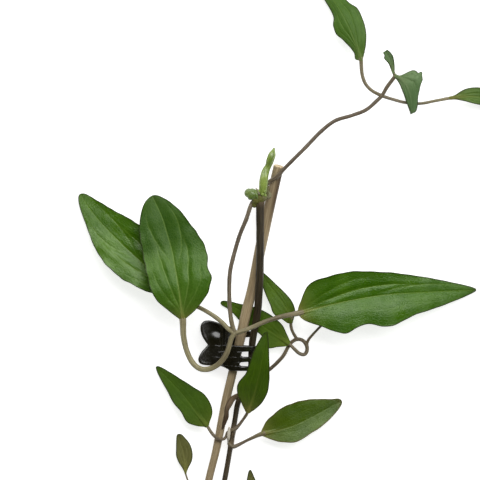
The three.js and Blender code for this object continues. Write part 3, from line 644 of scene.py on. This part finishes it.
def leafShell(leaf):
    # a closed skin round a thin blade: at each station a row runs over the top from the right edge to the
    # left and back underneath. The height is the midrib's, plus the edge's rise, plus a swelling between
    # the veins, less a groove at each vein, plus ripples and a wave that grows towards the edge
    path = pathThrough(leaf["midrib"])
    length = path[1][-1]
    rows = int(np.clip(length / blade["rowStep"], *blade["rowLimits"]))
    station = np.linspace(0, 1, rows)[:, None]
    along = (1 - np.cos(np.pi * station)) / 2
    distance = along * length
    centre = pointsAt(path, along[:, 0])
    heading = unit(np.gradient(centre, axis=0)[:, :2])
    square = np.stack([-heading[:, 1], heading[:, 0], np.zeros(rows)], axis=-1)
    leftWay, leftReach = bladeEdge(leaf["left"], square, centre, station, along)
    rightWay, rightReach = bladeEdge(leaf["right"], -square, centre, station, along)
    widest = leftReach.max() + rightReach.max()
    columns = int(np.clip(widest / blade["columnStep"], *blade["columnLimits"])) | 1  # always odd
    across = np.linspace(-1, 1, columns)[None, :]
    side, share = np.where(across > 0, 1, -1), np.abs(across)

    def sided(left, right):
        return np.where(side > 0, left, right)

    def wrapped(over, under):
        return np.concatenate([over, under[:, ::-1]], axis=1)

    reach = sided(leftReach, rightReach)
    for place, which, depth, spread in leaf["nicks"]:
        reach = reach - np.where(side == which, depth * bell((station - place) / spread), 0)
    seed = leaf["seed"]
    uneven = blade["unevenMargin"] * ripple(distance, side * 9, seed, 5, 14)
    reach = reach * (1 + uneven * easing(along, 0.05, 0.2))
    offset = across * reach
    rise = sided(*[np.interp(along, np.linspace(0, 1, np.size(r)), np.ravel(r)) for r in leaf["rise"]])
    bend = sided(*leaf["bend"])
    soft = np.sqrt(share**2 + 0.01) - 0.1  # the width's share with the crease at the midrib rounded
    early = 1 - (1 - soft) ** (1 / np.minimum(bend, 1))
    height = rise * reach * np.where(bend < 1, early, soft**bend)
    uneven = 1 + blade["unevenVeins"] * ripple(distance, side * 5, seed + 1, 4, 17)
    swell, veins = blade["swelling"] * np.sin(np.pi * share**0.8), 0
    for start, end, shareStart, shareEnd, strength in sideVeins[leaf["big"]]:
        run = np.clip((along - start) / (end - start), 0, 1)
        place = shareStart + (shareEnd - shareStart) * np.sin(np.pi / 2 * run)
        shown = strength * sided(*leaf["veins"]) * easing(run, 0, 0.3) * (1 - easing(run, 0.6, 1))
        swell = swell - shown * uneven * 0.5 * bell((share - place) / 0.1)
        veins = veins + shown * bell((share - place) * reach / blade["veinWidth"])
    edge = share**6  # near 1 only close to the margin
    height = height + sided(*leaf["fold"]) * reach * swell * (1 - edge)
    dull = smoothValues(leaf["dull"], along)
    calm = 1 - 0.75 * dull
    height = height + leaf["relief"] * calm * ripple(distance, offset, seed + 2, 5, 17) * easing(reach, 1, 5)
    long, short = [2 * np.pi * distance / pitch for pitch in blade["marginWaves"]]
    wave = np.sin(long + side * 1.3 + seed) + 0.6 * np.sin(short + seed * side)
    height = height + leaf["wave"] * calm * wave * share**3 * easing(reach, 1.5, 6)
    veins = veins * easing(distance, 2, 8) * easing(reach, 1, 3)
    rib = bell(offset / (blade["midribWidth"] + 0.75 * np.exp(-distance / 9))) * (1 - 0.6 * along)
    root = bell(distance / blade["roundFor"])
    roundness = np.sqrt(np.maximum(1.1 - offset**2, 0))
    half = (blade["thickness"] * (1 - edge) + blade["rim"] * edge) / 2
    midrib, veinRelief = blade["midribDepth"] * rib, blade["veinDepth"] * veins
    top = height + half - (midrib + veinRelief) * (1 - root) + roundness * root * 0.9
    bottom = height - half - midrib * 2 - veinRelief * 1.5
    bottom = bottom - roundness * (0.9 * root + 0.3 * np.exp(-distance / 22))
    way = np.where((side > 0)[..., None], leftWay[:, None], rightWay[:, None])
    flat = centre[:, None] + way * (share * reach)[..., None]
    grid = wrapped(flat, flat)
    grid[..., 2] += wrapped(top, bottom)
    v = np.concatenate([0.25 + across[0] * 0.2, 0.75 - across[0] * 0.2, [0.95]])
    stalk = np.exp(-distance / 3) + 0.5 * rib * np.exp(-distance / 16) + 0.3 * np.exp(-distance / 6)
    width = blade["marginWidth"]
    margin = 0.85 * easing(share * reach, reach - 2 * width, reach - width / 2)
    margin = np.maximum(margin, leaf["tip"] * np.exp(-(length - distance) / 1.8)) * easing(distance, 1, 4)
    marks = {"vein": np.clip(rib * 1.1 + veins * 0.8, 0, 1), "stalk": np.clip(stalk, 0, 1), "margin": margin,
             "dull": dull + 0 * top}
    marks = {name: wrapped(value, value) for name, value in marks.items()}
    marks["under"] = wrapped(0 * top, 0.75 * easing(distance, 1, 5) + 0 * top)
    return shell(grid, distance[:, 0] * uvPerMm, v, **marks)


def camel(node):
    first, *rest = node.split("_")
    return first + "".join(word.capitalize() for word in rest)


def makeLeaves():
    for node, leaf in leaves.items():
        buildPiece(camel(node), [leafShell(leaf)], leafFinishes[leaf["finish"]], [node])


makeLeaves()
print("leaves:", len(leaves))


# ---- leaf stalks

# each branch has its points, its radii and its tints, from 0 for brown to 1 for olive
stalks = {
    "arched_stalk": [
        ([(8.8, 75.4, 14.6), (6.4, 73.9, 14.4), (3, 65, 15), (-0.1, 57.5, 15.3), (-3.5, 46, 15.8),
          (-5, 39, 16.2), (-5.4, 27.5, 16.9), (-4.6, 16, 17.4), (-2.8, 8.4, 17.6)],
         (1.05, 1.05, 1.05, 1.05, 1.15), (0.1, 0, 0, 0.1, 0.4)),
        ([(-2.8, 8.4, 17.6), (-5.8, 10.6, 17.3), (-9, 13.9, 16.7), (-14, 17.7, 15.4), (-20, 21.1, 13.7),
          (-24.5, 22.9, 12.7), (-26.5, 24.6, 12.6)], (1.1, 1.1, 1.1, 1.05, 0.8), (0.8, 0.8, 0.8, 0.8)),
        ([(-2.8, 8.4, 17.6), (-4.3, 5.8, 17.4), (-5.3, 2.3, 17), (-6.4, -1, 16.5), (-8.2, -4.2, 16),
          (-11.3, -7.4, 15.6), (-15.5, -9.4, 15.2), (-19, -9.5, 15), (-22.2, -7.8, 14.9), (-25, -4, 15),
          (-27, 1.2, 15.2), (-28.2, 7.5, 15.6), (-28.4, 13.4, 16), (-28.5, 15.6, 16.3)],
         (1.15, 1.35, 1.35, 1.35, 1.4, 1.65), (0.8, 0.5, 0.45, 1, 1.05, 1, 0.9, 0.9)),
        ([(-2.8, 8.4, 17.6), (1, 9.6, 17.8), (5.7, 11.4, 17.8), (13.3, 14.6, 17.6), (21, 16.9, 17.3),
          (28.6, 18.4, 17.1), (31, 19, 17.1)], (1.1, 1.1, 1.15, 1.4), (0.7, 0.6, 0.4, 0.4, 0.6)),
    ],
    "upper_stalk": [
        ([(11.6, 77.6, 13.6), (12.6, 81.2, 13.4), (14.6, 84.2, 14), (18.5, 86.6, 14.9), (22.3, 90.8, 15.2),
          (33, 101.5, 14.8), (40.5, 109.2, 14.2), (47.5, 114.5, 13.6), (56, 117.2, 13), (63, 120, 12.6),
          (68.3, 124.5, 12.2), (70.8, 127, 12.1), (73.5, 131.5, 12.3), (77.2, 136.4, 12.7)],
         (0.9, 0.98, 0.98, 0.95, 0.95), (0, 0, 0, 0.1)),
        ([(70.8, 127, 12.1), (66, 129.5, 12), (63, 132.5, 12), (61.4, 136, 12), (60.7, 140, 12),
          (60.5, 143.9, 12), (60.2, 146, 12.2)], (0.85, 0.85, 0.9, 1), (0.2, 0.3, 0.4, 0.6)),
        ([(70.8, 127, 12.1), (76, 125.4, 11.6), (82.2, 123.8, 10.9), (89.8, 123.2, 10.3),
          (97.3, 124.5, 9.8), (104.1, 125.8, 9.3), (106, 126.1, 9.2)], (0.8, 0.75, 0.75, 0.8),
         (0.2, 0.2, 0.5, 0.6)),
        ([(77.2, 136.4, 12.7), (77, 137.7, 12.9), (76.7, 139.4, 13.2)], (0.75, 0.7, 0.5), (0.4, 0.9)),
        ([(77.2, 136.4, 12.7), (78.6, 136.2, 13), (80.3, 135.7, 13.6)], (0.75, 0.75, 0.5), (0.4, 0.9)),
    ],
    "twining_stalk": [
        ([(3.6, -22.6, 4.7), (6.4, -18.4, 4.3), (11, -13, 4), (16, -8.8, 4), (18.5, -6.5, 4.1),
          (21.8, -2.8, 4.4), (24, 1.3, 4.8), (25.7, 3.7, 5.2), (28.5, 5.3, 5.8), (31.2, 4.8, 6.1),
          (33.2, 2.5, 6.3), (33.5, -0.3, 6.4), (32.3, -2.2, 6.5), (30, -1.9, 6.6), (27.5, 0.2, 6.8),
          (25.2, 2.5, 7), (23.6, 3.8, 6.9)], (0.9, 0.95, 0.95, 0.95, 0.95, 0.8), (0, 0, 0.1, 0.1, 0.2)),
        ([(28.5, 5.3, 5.8), (26.6, 8.5, 6.4), (25.6, 11.2, 7.2), (25.4, 13.8, 7.8), (25.7, 16.1, 8.2),
          (25.2, 18, 8.3)], (0.8, 0.75, 0.8, 0.6), (0.1, 0.3, 0.5)),
        ([(33.2, 2.5, 6.3), (34.2, 5, 6.8), (36, 7.3, 7.6), (38.5, 10, 8.6), (40.2, 11.8, 9.2),
          (41.2, 13, 9.4)], (0.75, 0.65, 0.6), (0.1, 0.2, 0.4)),
    ],
    "beside_clip_stalk": [
        ([(-5, -40.4, 5.4), (-3.6, -40.2, 6), (-2.3, -39.4, 6.1), (-0.8, -37.9, 6.1), (1.2, -35.3, 6.5),
          (3.4, -32, 8), (4, -30.6, 8.9)], (1.1, 1, 0.8, 0.75, 0.75, 0.7), (0.2, 0, 0.1, 0.5)),
    ],
    "lower_right_stalk": [
        ([(-5.4, -46.9, 4.6), (-4.5, -48.1, 5.3), (-3.1, -48.4, 5.4), (-1, -47.6, 5.1), (4.5, -44.8, 5.6),
          (10.3, -42.2, 6), (12.2, -41.7, 6.2)], (1, 1, 0.8, 0.8, 1, 1.3), (0.2, 0, 0.2, 0.6)),
    ],
    "lower_left_stalk": [
        ([(-4.6, -40.8, 4.4), (-6.1, -41.4, 5.1), (-6.7, -42.9, 6), (-7.8, -44.4, 6.9), (-10.2, -44.7, 7.9),
          (-12.5, -43.4, 7.7), (-14.6, -41, 6.9), (-15.9, -38.9, 6.4), (-16.9, -37.4, 6.4)],
         (0.85, 0.75, 0.75, 0.8, 0.75), (0.1, 0, 0.1, 0.5)),
    ],
    "basal_left_stalk": [
        ([(-11.8, -79, 2.4), (-12.9, -78.3, 3.2), (-14.5, -77, 4.6), (-18, -74.8, 5.9), (-22, -71.5, 5.2),
          (-25.4, -67, 3.9), (-27.1, -62.5, 3.3), (-27.4, -61, 3.3)], (0.7, 0.5, 0.45, 0.45),
         (0.1, 0.2, 0.5)),
    ],
    "basal_right_stalk": [
        ([(-9.8, -79.2, 2.4), (-8.8, -79.5, 2.6), (-4, -80, 2.6), (2, -79.8, 2.8), (6.6, -78, 3),
          (8.1, -76.5, 3.1), (8.3, -75, 3.1)], (0.75, 0.5, 0.5, 0.45), (0.1, 0.2, 0.5)),
    ],
    "dried_stalk": [
        ([(-1, -22.8, 5.4), (-2.1, -23.4, 6), (-3.7, -24.6, 6.8), (-5.2, -27, 7.4), (-6.5, -29.8, 7.7),
          (-6.75, -33, 7.4), (-7.7, -36.2, 7.3), (-8.6, -39.2, 7.4)],
         (1.1, 1.3, 1.5, 1.35, 1.05, 1.2, 0.95, 0.5), (0.9, 0.7, 0.3, 0, 0.1)),
    ],
}
# where branches meet the stalk swells: centre, radii, tint
stalkKnots = {
    "arched_stalk": [((-2.9, 8.3, 17.6), (1.6, 1.5, 1.25), 0.7)],
    "upper_stalk": [((70.9, 127, 12.1), (1.15, 1.15, 1), 0.1), ((77.3, 136.6, 12.75), (1, 1.1, 0.9), 0.5)],
    "twining_stalk": [((28.3, 5.5, 5.8), (1.2, 1.1, 0.95), 0), ((33.3, 2.6, 6.3), (1.05, 1.1, 0.9), 0)],
}


def groovedSkin(turn, distance):
    # shallow lengthwise furrows that drift round the stalk, and a slight unevenness along it
    furrows = 0.045 * np.cos(5 * turn + distance * 0.05) + 0.02 * np.cos(9 * turn - distance * 0.08)
    return furrows + 0.035 * np.sin(distance * 0.9) * np.sin(distance * 0.31 + 1)


def makeStalks():
    for node, branches in stalks.items():
        finish, slot = ("dryStalk", "dried_stalk") if node == "dried_stalk" else ("leafStalk", "stalk")
        shells = [rod(*branch, sides=20, step=0.5, shape=groovedSkin) for branch in branches]
        shells += [ball(*knot) for knot in stalkKnots.get(node, ())]
        buildPiece(camel(node), shells, stalkFinishes[finish], [node])


makeStalks()
print("leaf stalks:", len(stalks))


# ---- cane, stem, young shoot and bud

cane = {
    "points": [(-21, -92.5, 2.1), (-15.6, -65, 3.4), (-11.9, -50, 4.1), (-7, -25, 5.3), (-4, -12.5, 5.9),
               (0, 5, 6.7), (3.4, 20, 7.5), (6, 30, 7.9), (10, 50, 8.9), (14.3, 70, 9.8), (19.3, 91.7, 10.9)],
    "radii": (1.75, 1.9, 2.15, 2.5, 2.7, 2.65),
    "sides": 56, "cutSlant": 0.22,
    # the painted shade on the cane's right side grows and fades over these heights
    "paintedShadeGrows": (55, 76), "paintedShadeFades": (87, 90),  # heights up the cane
}
stem = {
    "points": [(-13.9, -92.5, 1.5), (-7.7, -65, 2.9), (-4.4, -46, 4), (-2.5, -34.5, 4.6), (-1.2, -27, 5),
               (0.3, -23, 5.2), (2.3, -19, 5.4), (4.7, -13.5, 5.9), (5.5, -8, 6.2), (5.8, 0, 6.5),
               (6.6, 7, 6.9), (8, 14, 8), (9, 22, 9.8), (9.5, 30, 11.7), (10, 45, 13.9), (10, 60, 14.2),
               (10, 73.5, 14.4), (10.2, 76.5, 14.5)],
    "radii": (1.35, 1.3, 1.25, 1.3, 1.5, 1.75, 1.85, 1.85, 1.9),
    "sides": 56, "ribs": 7,
    "nodes": [(-79, 0.35), (-47, 0.3), (-40.5, 0.3), (-23, 0.2), (75, 0.3)],  # height up the stem, swelling
    "nodeHalfLength": 2.2, "paleHalfLength": 2.6, "usualRadius": 1.6,
}
# each of these is a line's points, radii and tints, except where a note says otherwise
youngShoot = {
    "core": ([(11.4, 76.8, 15), (11.4, 80.7, 15.8), (11.7, 84, 16.5), (12, 86.6, 16.8), (12.9, 89.7, 16.4),
              (14.1, 92.1, 16.6), (15.2, 95.4, 17.8), (16.2, 98.2, 17.7), (16.9, 100.5, 17.2)],
             (1.2, 1.85, 2.05, 2.05, 1.85, 1.65, 1.9, 1.95, 0.6), (0.2, 0, 0.2, 0.25, 0)),
    # the young leaves' margins stand up as pale ridges: points, radii
    "ridges": [
        ([(10.8, 79, 16.6), (10.8, 83, 17.5), (11.2, 86, 18), (12.2, 89.6, 17.3), (13.5, 92.1, 17.3),
          (14.4, 95.2, 18.7), (15.5, 98.2, 18.5), (16.6, 100.4, 17.5)],
         (0.4, 0.9, 1, 0.85, 0.7, 0.95, 0.85, 0.3)),
        ([(12.3, 78.5, 16.4), (12.6, 83, 17.2), (12.9, 86, 17.8), (13.6, 89.6, 17), (14.7, 92, 17.1),
          (16, 95.4, 18.4), (16.8, 98, 18.2), (17, 100.3, 17.4)], (0.5, 0.95, 0.9, 0.75, 0.6, 0.9, 0.8, 0.3)),
    ],
    # small swollen scales round its foot: centre, radii, tint
    "scales": [((11.2, 77.8, 16.6), (0.8, 0.9, 0.8), 0), ((12.7, 77.2, 16.1), (0.7, 0.8, 0.7), 0.2),
               ((12.1, 79.3, 16.9), (0.6, 0.9, 0.7), 0), ((10.5, 79.6, 16.2), (0.5, 0.9, 0.6), 0.3),
               ((9, 79.3, 16.4), (1.1, 1, 0.9), 0.1)],
}
bud = {
    "core": ([(7.6, 76.3, 15.9), (6.6, 77.2, 16), (5.4, 78, 15.9), (4.4, 78.4, 15.7)],
             (1.7, 2.5, 2.85, 2.75, 2.3), (1, 1, 0.9)),
    "scaleEdge": ([(8.6, 75.6, 17), (8.2, 77, 17.5), (8, 78.6, 17.4), (8.4, 79.9, 16.8)],
                  (0.5, 0.8, 0.8, 0.4), (0.95, 0.8)),
}
topNode = {
    # what joins the shoot, the bud and the old stalks: centre, radii, tint from dark olive to papery
    "swellings": [((9.8, 75.4, 15), (2.8, 2.3, 2.2), 0), ((8, 74.9, 15.6), (2, 2.3, 1.8), 0),
                  ((7.2, 73.2, 14.7), (1.5, 2.2, 1.5), 0), ((11.8, 76, 15.1), (1.8, 1.7, 1.6), 0.1),
                  ((14.3, 77.4, 12.5), (1.6, 1.9, 1.1), 0.25), ((13.5, 80, 13.4), (1.1, 3.2, 1.2), 0.1)],
    "scale": ([(9.4, 78.2, 16.4), (8.7, 79.8, 16.8), (7.9, 80.9, 16.8)], (0.7, 0.6, 0.2), (0.3, 0.5)),
    # a small pale streak low on the stem beside the lower stalks
    "paleStreak": ([(-5.4, -38.9, 6), (-5.6, -41, 6.8), (-5.8, -43.6, 6.9), (-6, -46.2, 5.6)],
               (0.5, 0.85, 0.8, 0.35), (1, 0.8)),
}


def fibredSkin(turn, distance):
    # fine ribs round the cane and a slow waviness along it
    ribs = 0.018 * np.cos(7 * turn + 1) + 0.012 * np.cos(13 * turn + distance * 0.02)
    return ribs + 0.02 * np.sin(distance * 0.13)


def creasedSkin(turn, distance):
    # two broad creases, five faint ones and a slight unevenness along the shoot
    return 0.06 * np.cos(2 * turn + distance * 0.1) + 0.03 * np.cos(5 * turn) + 0.03 * np.sin(distance * 1.1)


def makeCane():
    around = cane["sides"]
    wood = rod(cane["points"], cane["radii"], sides=around, step=0.7, ends="cut", slant=cane["cutSlant"],
               shape=fibredSkin)
    # the tint marks the two cut faces: the last ring at each end and the middle of its fan
    tint = wood["marks"]["tint"]
    tint[:around], tint[-2 - around:] = 1, 1
    # painted shade, strongest on the right side of a stretch near the top
    height = wood["points"][:-2, 1].reshape(-1, around)
    rightward = np.cos(np.linspace(0, 2 * np.pi, around, endpoint=False) - np.pi / 2)
    stain = easing(height, *cane["paintedShadeGrows"]) * (0.25 + 0.7 * easing(rightward, -0.1, 0.8))
    stain = stain * (1 - 0.7 * easing(height, *cane["paintedShadeFades"]))
    wood["marks"]["stain"] = np.concatenate([stain.ravel(), [0, 0]])
    buildPiece("supportCane", [wood], caneWood, ["support_cane"])


def makeStem():
    heights, swells = np.array(stem["nodes"]).T
    line, lengths = pathThrough(stem["points"])

    def nearNode(height, halfLength):
        return bell((height[..., None] - heights) / halfLength)

    def ribbedSkin(turn, distance):
        height = np.interp(distance, lengths, line[:, 1])
        bulge = (nearNode(height, stem["nodeHalfLength"]) * swells).sum(-1) / stem["usualRadius"]
        ribs = 0.06 * np.cos(stem["ribs"] * turn + distance * 0.01) + 0.02 * np.cos(17 * turn + 2)
        return bulge + ribs + 0.03 * np.sin(distance * 0.55) * np.sin(distance * 0.17)

    bark = rod(stem["points"], stem["radii"], sides=stem["sides"], step=0.6, shape=ribbedSkin)
    height = bark["points"][:-2, 1]
    pale = 0.75 * nearNode(height, stem["paleHalfLength"]).max(-1)
    bark["marks"]["tint"][:-2] = np.maximum(pale, 0.18 * easing(height, -30, -55))
    buildPiece("mainStem", [bark], stalkFinishes["stem"], ["main_stem"])


def makeYoungShoot():
    finish = stalkFinishes["youngShoot"]
    shells = [rod(*youngShoot["core"], sides=36, step=0.35, shape=creasedSkin)]
    shells += [rod(*ridge, step=0.35) for ridge in youngShoot["ridges"]]
    shells += [ball(*scale) for scale in youngShoot["scales"]]
    buildPiece("topShoot", shells, finish, ["top_shoot"])
    shells = [rod(*bud["core"], sides=36, step=0.3, shape=creasedSkin)]
    shells += [rod(*bud["scaleEdge"], sides=12, step=0.3)]
    buildPiece("budStub", shells, finish, ["bud_stub"])
    shells = [ball(*swelling) for swelling in topNode["swellings"]]
    shells += [rod(*topNode["scale"], sides=12, step=0.3), rod(*topNode["paleStreak"], step=0.3)]
    buildPiece("nodeScales", shells, stalkFinishes["nodeSkin"], [])


makeCane()
makeStem()
makeYoungShoot()
print("cane, stem and shoot")


# ---- clip

# measured from the hinge pin's middle, with the pin along Y; the back jaw is the front one's mirror image
clip = {
    "wall": 1.4, "rounding": 0.55, "finest": 0.14, "columns": 84, "low": -10.5, "high": 14.8,
    "profile": [(-11.9, 5.65), (-11.7, 5.6), (-6, 4.05), (-3, 3.95), (-1, 3.8), (0.9, 3.25), (2.8, 3.4),
                (6, 4.25), (10.5, 4.35), (14.5, 3.5), (17, 2.2), (18.1, 0.75)],
    # the left edge, from the top of the wing to the waist and from there to the foot
    "upperLobe": [(-6.5, 14.82), (-8.4, 14.55), (-10, 13.2), (-10.5, 10.5), (-9.6, 6.9), (-8, 4.2),
                  (-6.8, 2.6)],
    "lowerLobe": [(-6.8, 2.6), (-8.2, 1), (-9.9, -0.9), (-11.2, -3.2), (-11.6, -4.8), (-10.8, -6.6),
                  (-8.5, -7.55), (-5, -7.7), (-1, -7.9), (2.6, -9.3), (4.3, -10.5)],
    "rim": 0.03, "rimWidth": 0.45, "rimIn": 0.95,
    "knuckle": 2.2, "bore": 0.8, "soft": 0.25, "clearance": 0.35, "sides": 40,
}
# each jaw's right edge as (height, x): teeth reach 18.1, and the slots between them end at 9 and 9.6
teeth = [(-10.5, 18.1), (-8.3, 18.1), (-8.2, 10.5), (-7.95, 9.7), (-7.5, 9.2), (-7.1, 9.1), (-6.7, 9.2),
         (-6.25, 9.7), (-6, 10.5), (-5.9, 18.1), (-3.6, 18.1), (-3.5, 11.2), (-3.25, 10.3), (-2.7, 9.8),
         (-2.15, 9.7), (-1.6, 9.8), (-1.05, 10.3), (-0.8, 11.2), (-0.7, 18.1), (2.05, 18.1)]
lobeTop = [(12.9, 0.5), (13.9, -2.2), (14.6, -4.6), (14.82, -6.3)]
jaws = {
    "front": {
        "side": 1, "body": "front_jaw", "node": "clip_front_jaw",
        "edge": teeth + [(2.35, 3.4), (4, 2.4), (12, 2.4)] + lobeTop,
        "knuckles": [(-4.4, -2.2), (5.3, 7.7)],
        # finger dimples' swellings on the wing: centre, radius, height
        "domes": [((-3.5, 6), 4, 0.58), ((-4.2, 2.4), 2, 0.12), ((-3.6, -4.4), 2.8, 0.06)],
    },
    "back": {
        "side": -1, "body": "shoot", "node": "clip_back_jaw",
        "edge": teeth + [(2.35, 9.5), (6.05, 9.5), (6.35, 15.6), (9.35, 15.6), (9.65, 8), (11.5, 4.8)]
        + lobeTop,
        "knuckles": [(-7.4, -5.1), (8.4, 10.8)],
        "domes": [((-2.3, 6.9), 3.9, 1.15), ((-3.2, -3.9), 2.6, 0.35)],
    },
}
pin = {
    "low": -7.75, "high": 11.15,
    # each end's head: how far in from that end, radius
    "head": [(-0.5, 0.2), (-0.48, 0.91), (-0.3, 1.3), (-0.05, 1.3), (0, 1.25), (0, 0.65)],
}
spring = {
    "wire": 0.28, "coil": 1.27, "low": -1.5, "high": 4.6,
    "elbow": (-2.2, 1.55), "tip": (-7, 2.25),  # where an arm leaves the coil and where it ends: x, z
    "sweep": 4.5, "perTurn": 16,  # turns from one arm to the other, points in a turn
}


def turned(profile):
    # a closed skin of revolution round the hinge pin: rings (y, radius), a fan at either end
    y, radius = np.array(profile, float).T[:, :, None]
    turn = np.linspace(0, 2 * np.pi, clip["sides"] + 1)
    grid = np.stack([radius * np.cos(turn[:-1]), y + 0 * turn[:-1], radius * np.sin(turn[:-1])], axis=-1)
    return shell(grid + hingePoint, y[:, 0] * uvPerMm, turn / (2 * np.pi))


def bothEnds(low, high, corner):
    # rings that turn the same corner at the low and the high end: (how far in from that end, radius)
    first = [(low + inward, radius) for inward, radius in corner]
    return first + [(high - inward, radius) for inward, radius in reversed(corner)]


def sleeve(low, high):
    # a knuckle: a ring-shaped profile turned round the pin; its last ring is welded to its first
    bore, radius, soft = clip["bore"], clip["knuckle"], clip["soft"]
    profile = bothEnds(low, high, [(soft, bore), (0, bore + soft), (0, radius - soft),
                                   (0.3 * soft, radius - 0.3 * soft), (soft, radius)])
    made = turned(profile + profile[:1])
    quads, quadUv = made["faces"][0]
    count = len(made["points"]) - 2 - clip["sides"]
    return {**made, "points": made["points"][:count], "faces": [(quads % count, quadUv)]}


def distanceToEdge(x, y, outline):
    # the shortest way from each point to the outline's straight stretches
    (startX, startY), (wayX, wayY) = outline[:-1].T, np.diff(outline, axis=0).T
    toX, toY = x[..., None] - startX, y[..., None] - startY
    run = np.clip((toX * wayX + toY * wayY) / np.maximum(wayX**2 + wayY**2, 1e-12), 0, 1)
    return np.hypot(toX - run * wayX, toY - run * wayY).min(-1)


def jawShell(jaw, otherJaw):
    # a wall of even thickness along the jaw's profile: each row lies at one height along the pin and runs
    # from the outline's left edge to its right edge and back inside. Near the outline the thickness closes
    # in a quarter circle; domes and a raised rim swell the outer face of the wing
    y = np.linspace(clip["low"], clip["high"], int((clip["high"] - clip["low"]) / clip["finest"]))
    bound = np.vstack([flatPath(clip[name])[0] for name in ("upperLobe", "lowerLobe")])[::-1]
    leftEdge = np.interp(y, np.maximum.accumulate(bound[:, 1]), bound[:, 0])
    rightEdge = np.maximum(np.interp(y, *np.array(jaw["edge"]).T), leftEdge + 0.1)
    left, right = np.stack([leftEdge, y], -1), np.stack([rightEdge, y], -1)
    outline = np.vstack([left, right[::-1], left[:1]])
    share = (1 - np.cos(np.linspace(0, np.pi, clip["columns"]))) / 2
    x = leftEdge[:, None] + (rightEdge - leftEdge)[:, None] * share
    y = y[:, None] * np.ones_like(x)
    inward = distanceToEdge(x, y, outline)
    close = 1 - np.clip(inward / clip["rounding"], 0, 1)
    half = np.maximum(clip["wall"] / 2 * np.sqrt(1 - close**2), 0.02)
    line = flatPath(clip["profile"])[0]
    slope = unit(np.gradient(line, axis=0))
    z, outX, outZ = [np.interp(x, line[:, 0], value) for value in (line[:, 1], -slope[:, 1], slope[:, 0])]
    swell = clip["rim"] * bell((inward - clip["rimIn"]) / clip["rimWidth"]) * easing(x, 0.5, -2.5)
    for (domeX, domeY), radius, high in jaw["domes"]:
        far = np.clip(np.hypot(x - domeX, y - domeY) / radius, 0, 1)
        swell = swell + high * (1 + np.cos(np.pi * far)) / 2
    outer = np.stack([x + outX * (half + swell), y, z + outZ * (half + swell)], axis=-1)
    innerX, innerZ = x - outX * half, z - outZ * half
    clearance = clip["clearance"]
    room = clip["knuckle"] + clearance
    arch = np.sqrt(np.maximum(room**2 - innerX**2, 0))
    for low, high in otherJaw["knuckles"]:  # the other jaw's knuckles need their room
        beside = (y > low - clearance) & (y < high + clearance) & (np.abs(innerX) < room)
        innerZ = np.where(beside, np.maximum(innerZ, arch), innerZ)
    inner = np.stack([innerX, y, innerZ], axis=-1)
    grid = np.concatenate([outer, inner[:, ::-1]], axis=1) * np.array([1, 1, jaw["side"]])
    return shell(grid + hingePoint, y[:, 0] * uvPerMm, np.linspace(0, 1, grid.shape[1] + 1))


def makeJaws():
    for jaw, other in ((jaws["front"], jaws["back"]), (jaws["back"], jaws["front"])):
        shells = [jawShell(jaw, other)] + [sleeve(low, high) for low, high in jaw["knuckles"]]
        buildPiece(camel(jaw["node"]), shells, blackPlastic, [jaw["node"]], jaw["body"])


def makePin():
    shells = [turned(bothEnds(pin["low"], pin["high"], pin["head"]))]
    buildPiece("hingePin", shells, springSteel, ["clip_pin"])


def makeSpring():
    # a helix round the pin: the angle falls evenly while y climbs, from the front arm to the back one
    low, high, (elbowX, elbowZ), (tipX, tipZ) = [spring[key] for key in ("low", "high", "elbow", "tip")]
    share = np.linspace(0, 1, int(spring["sweep"] * spring["perTurn"]) + 1)
    angle = np.pi / 2 - 2 * np.pi * spring["sweep"] * share
    x, z = spring["coil"] * np.cos(angle), spring["coil"] * np.sin(angle)
    coil = np.stack([x, low + (high - low) * share, z], axis=-1)
    frontArm = [(tipX, low, tipZ), (elbowX, low, elbowZ), coil[0]]
    backArm = [(elbowX, high, -elbowZ), (tipX, high, -tipZ)]
    wires = (("springCoil", [*coil, *backArm], "shoot"), ("springFrontArm", frontArm, "front_jaw"))
    for name, points, body in wires:
        wire = rod(np.array(points) + hingePoint, [spring["wire"]] * 2, sides=12, step=0.2, up=(0, 1, 0))
        buildPiece(name, [wire], springSteel, ["clip_spring"], body)


makeJaws()
makePin()
makeSpring()
print("clip: two jaws, a pin and a spring")
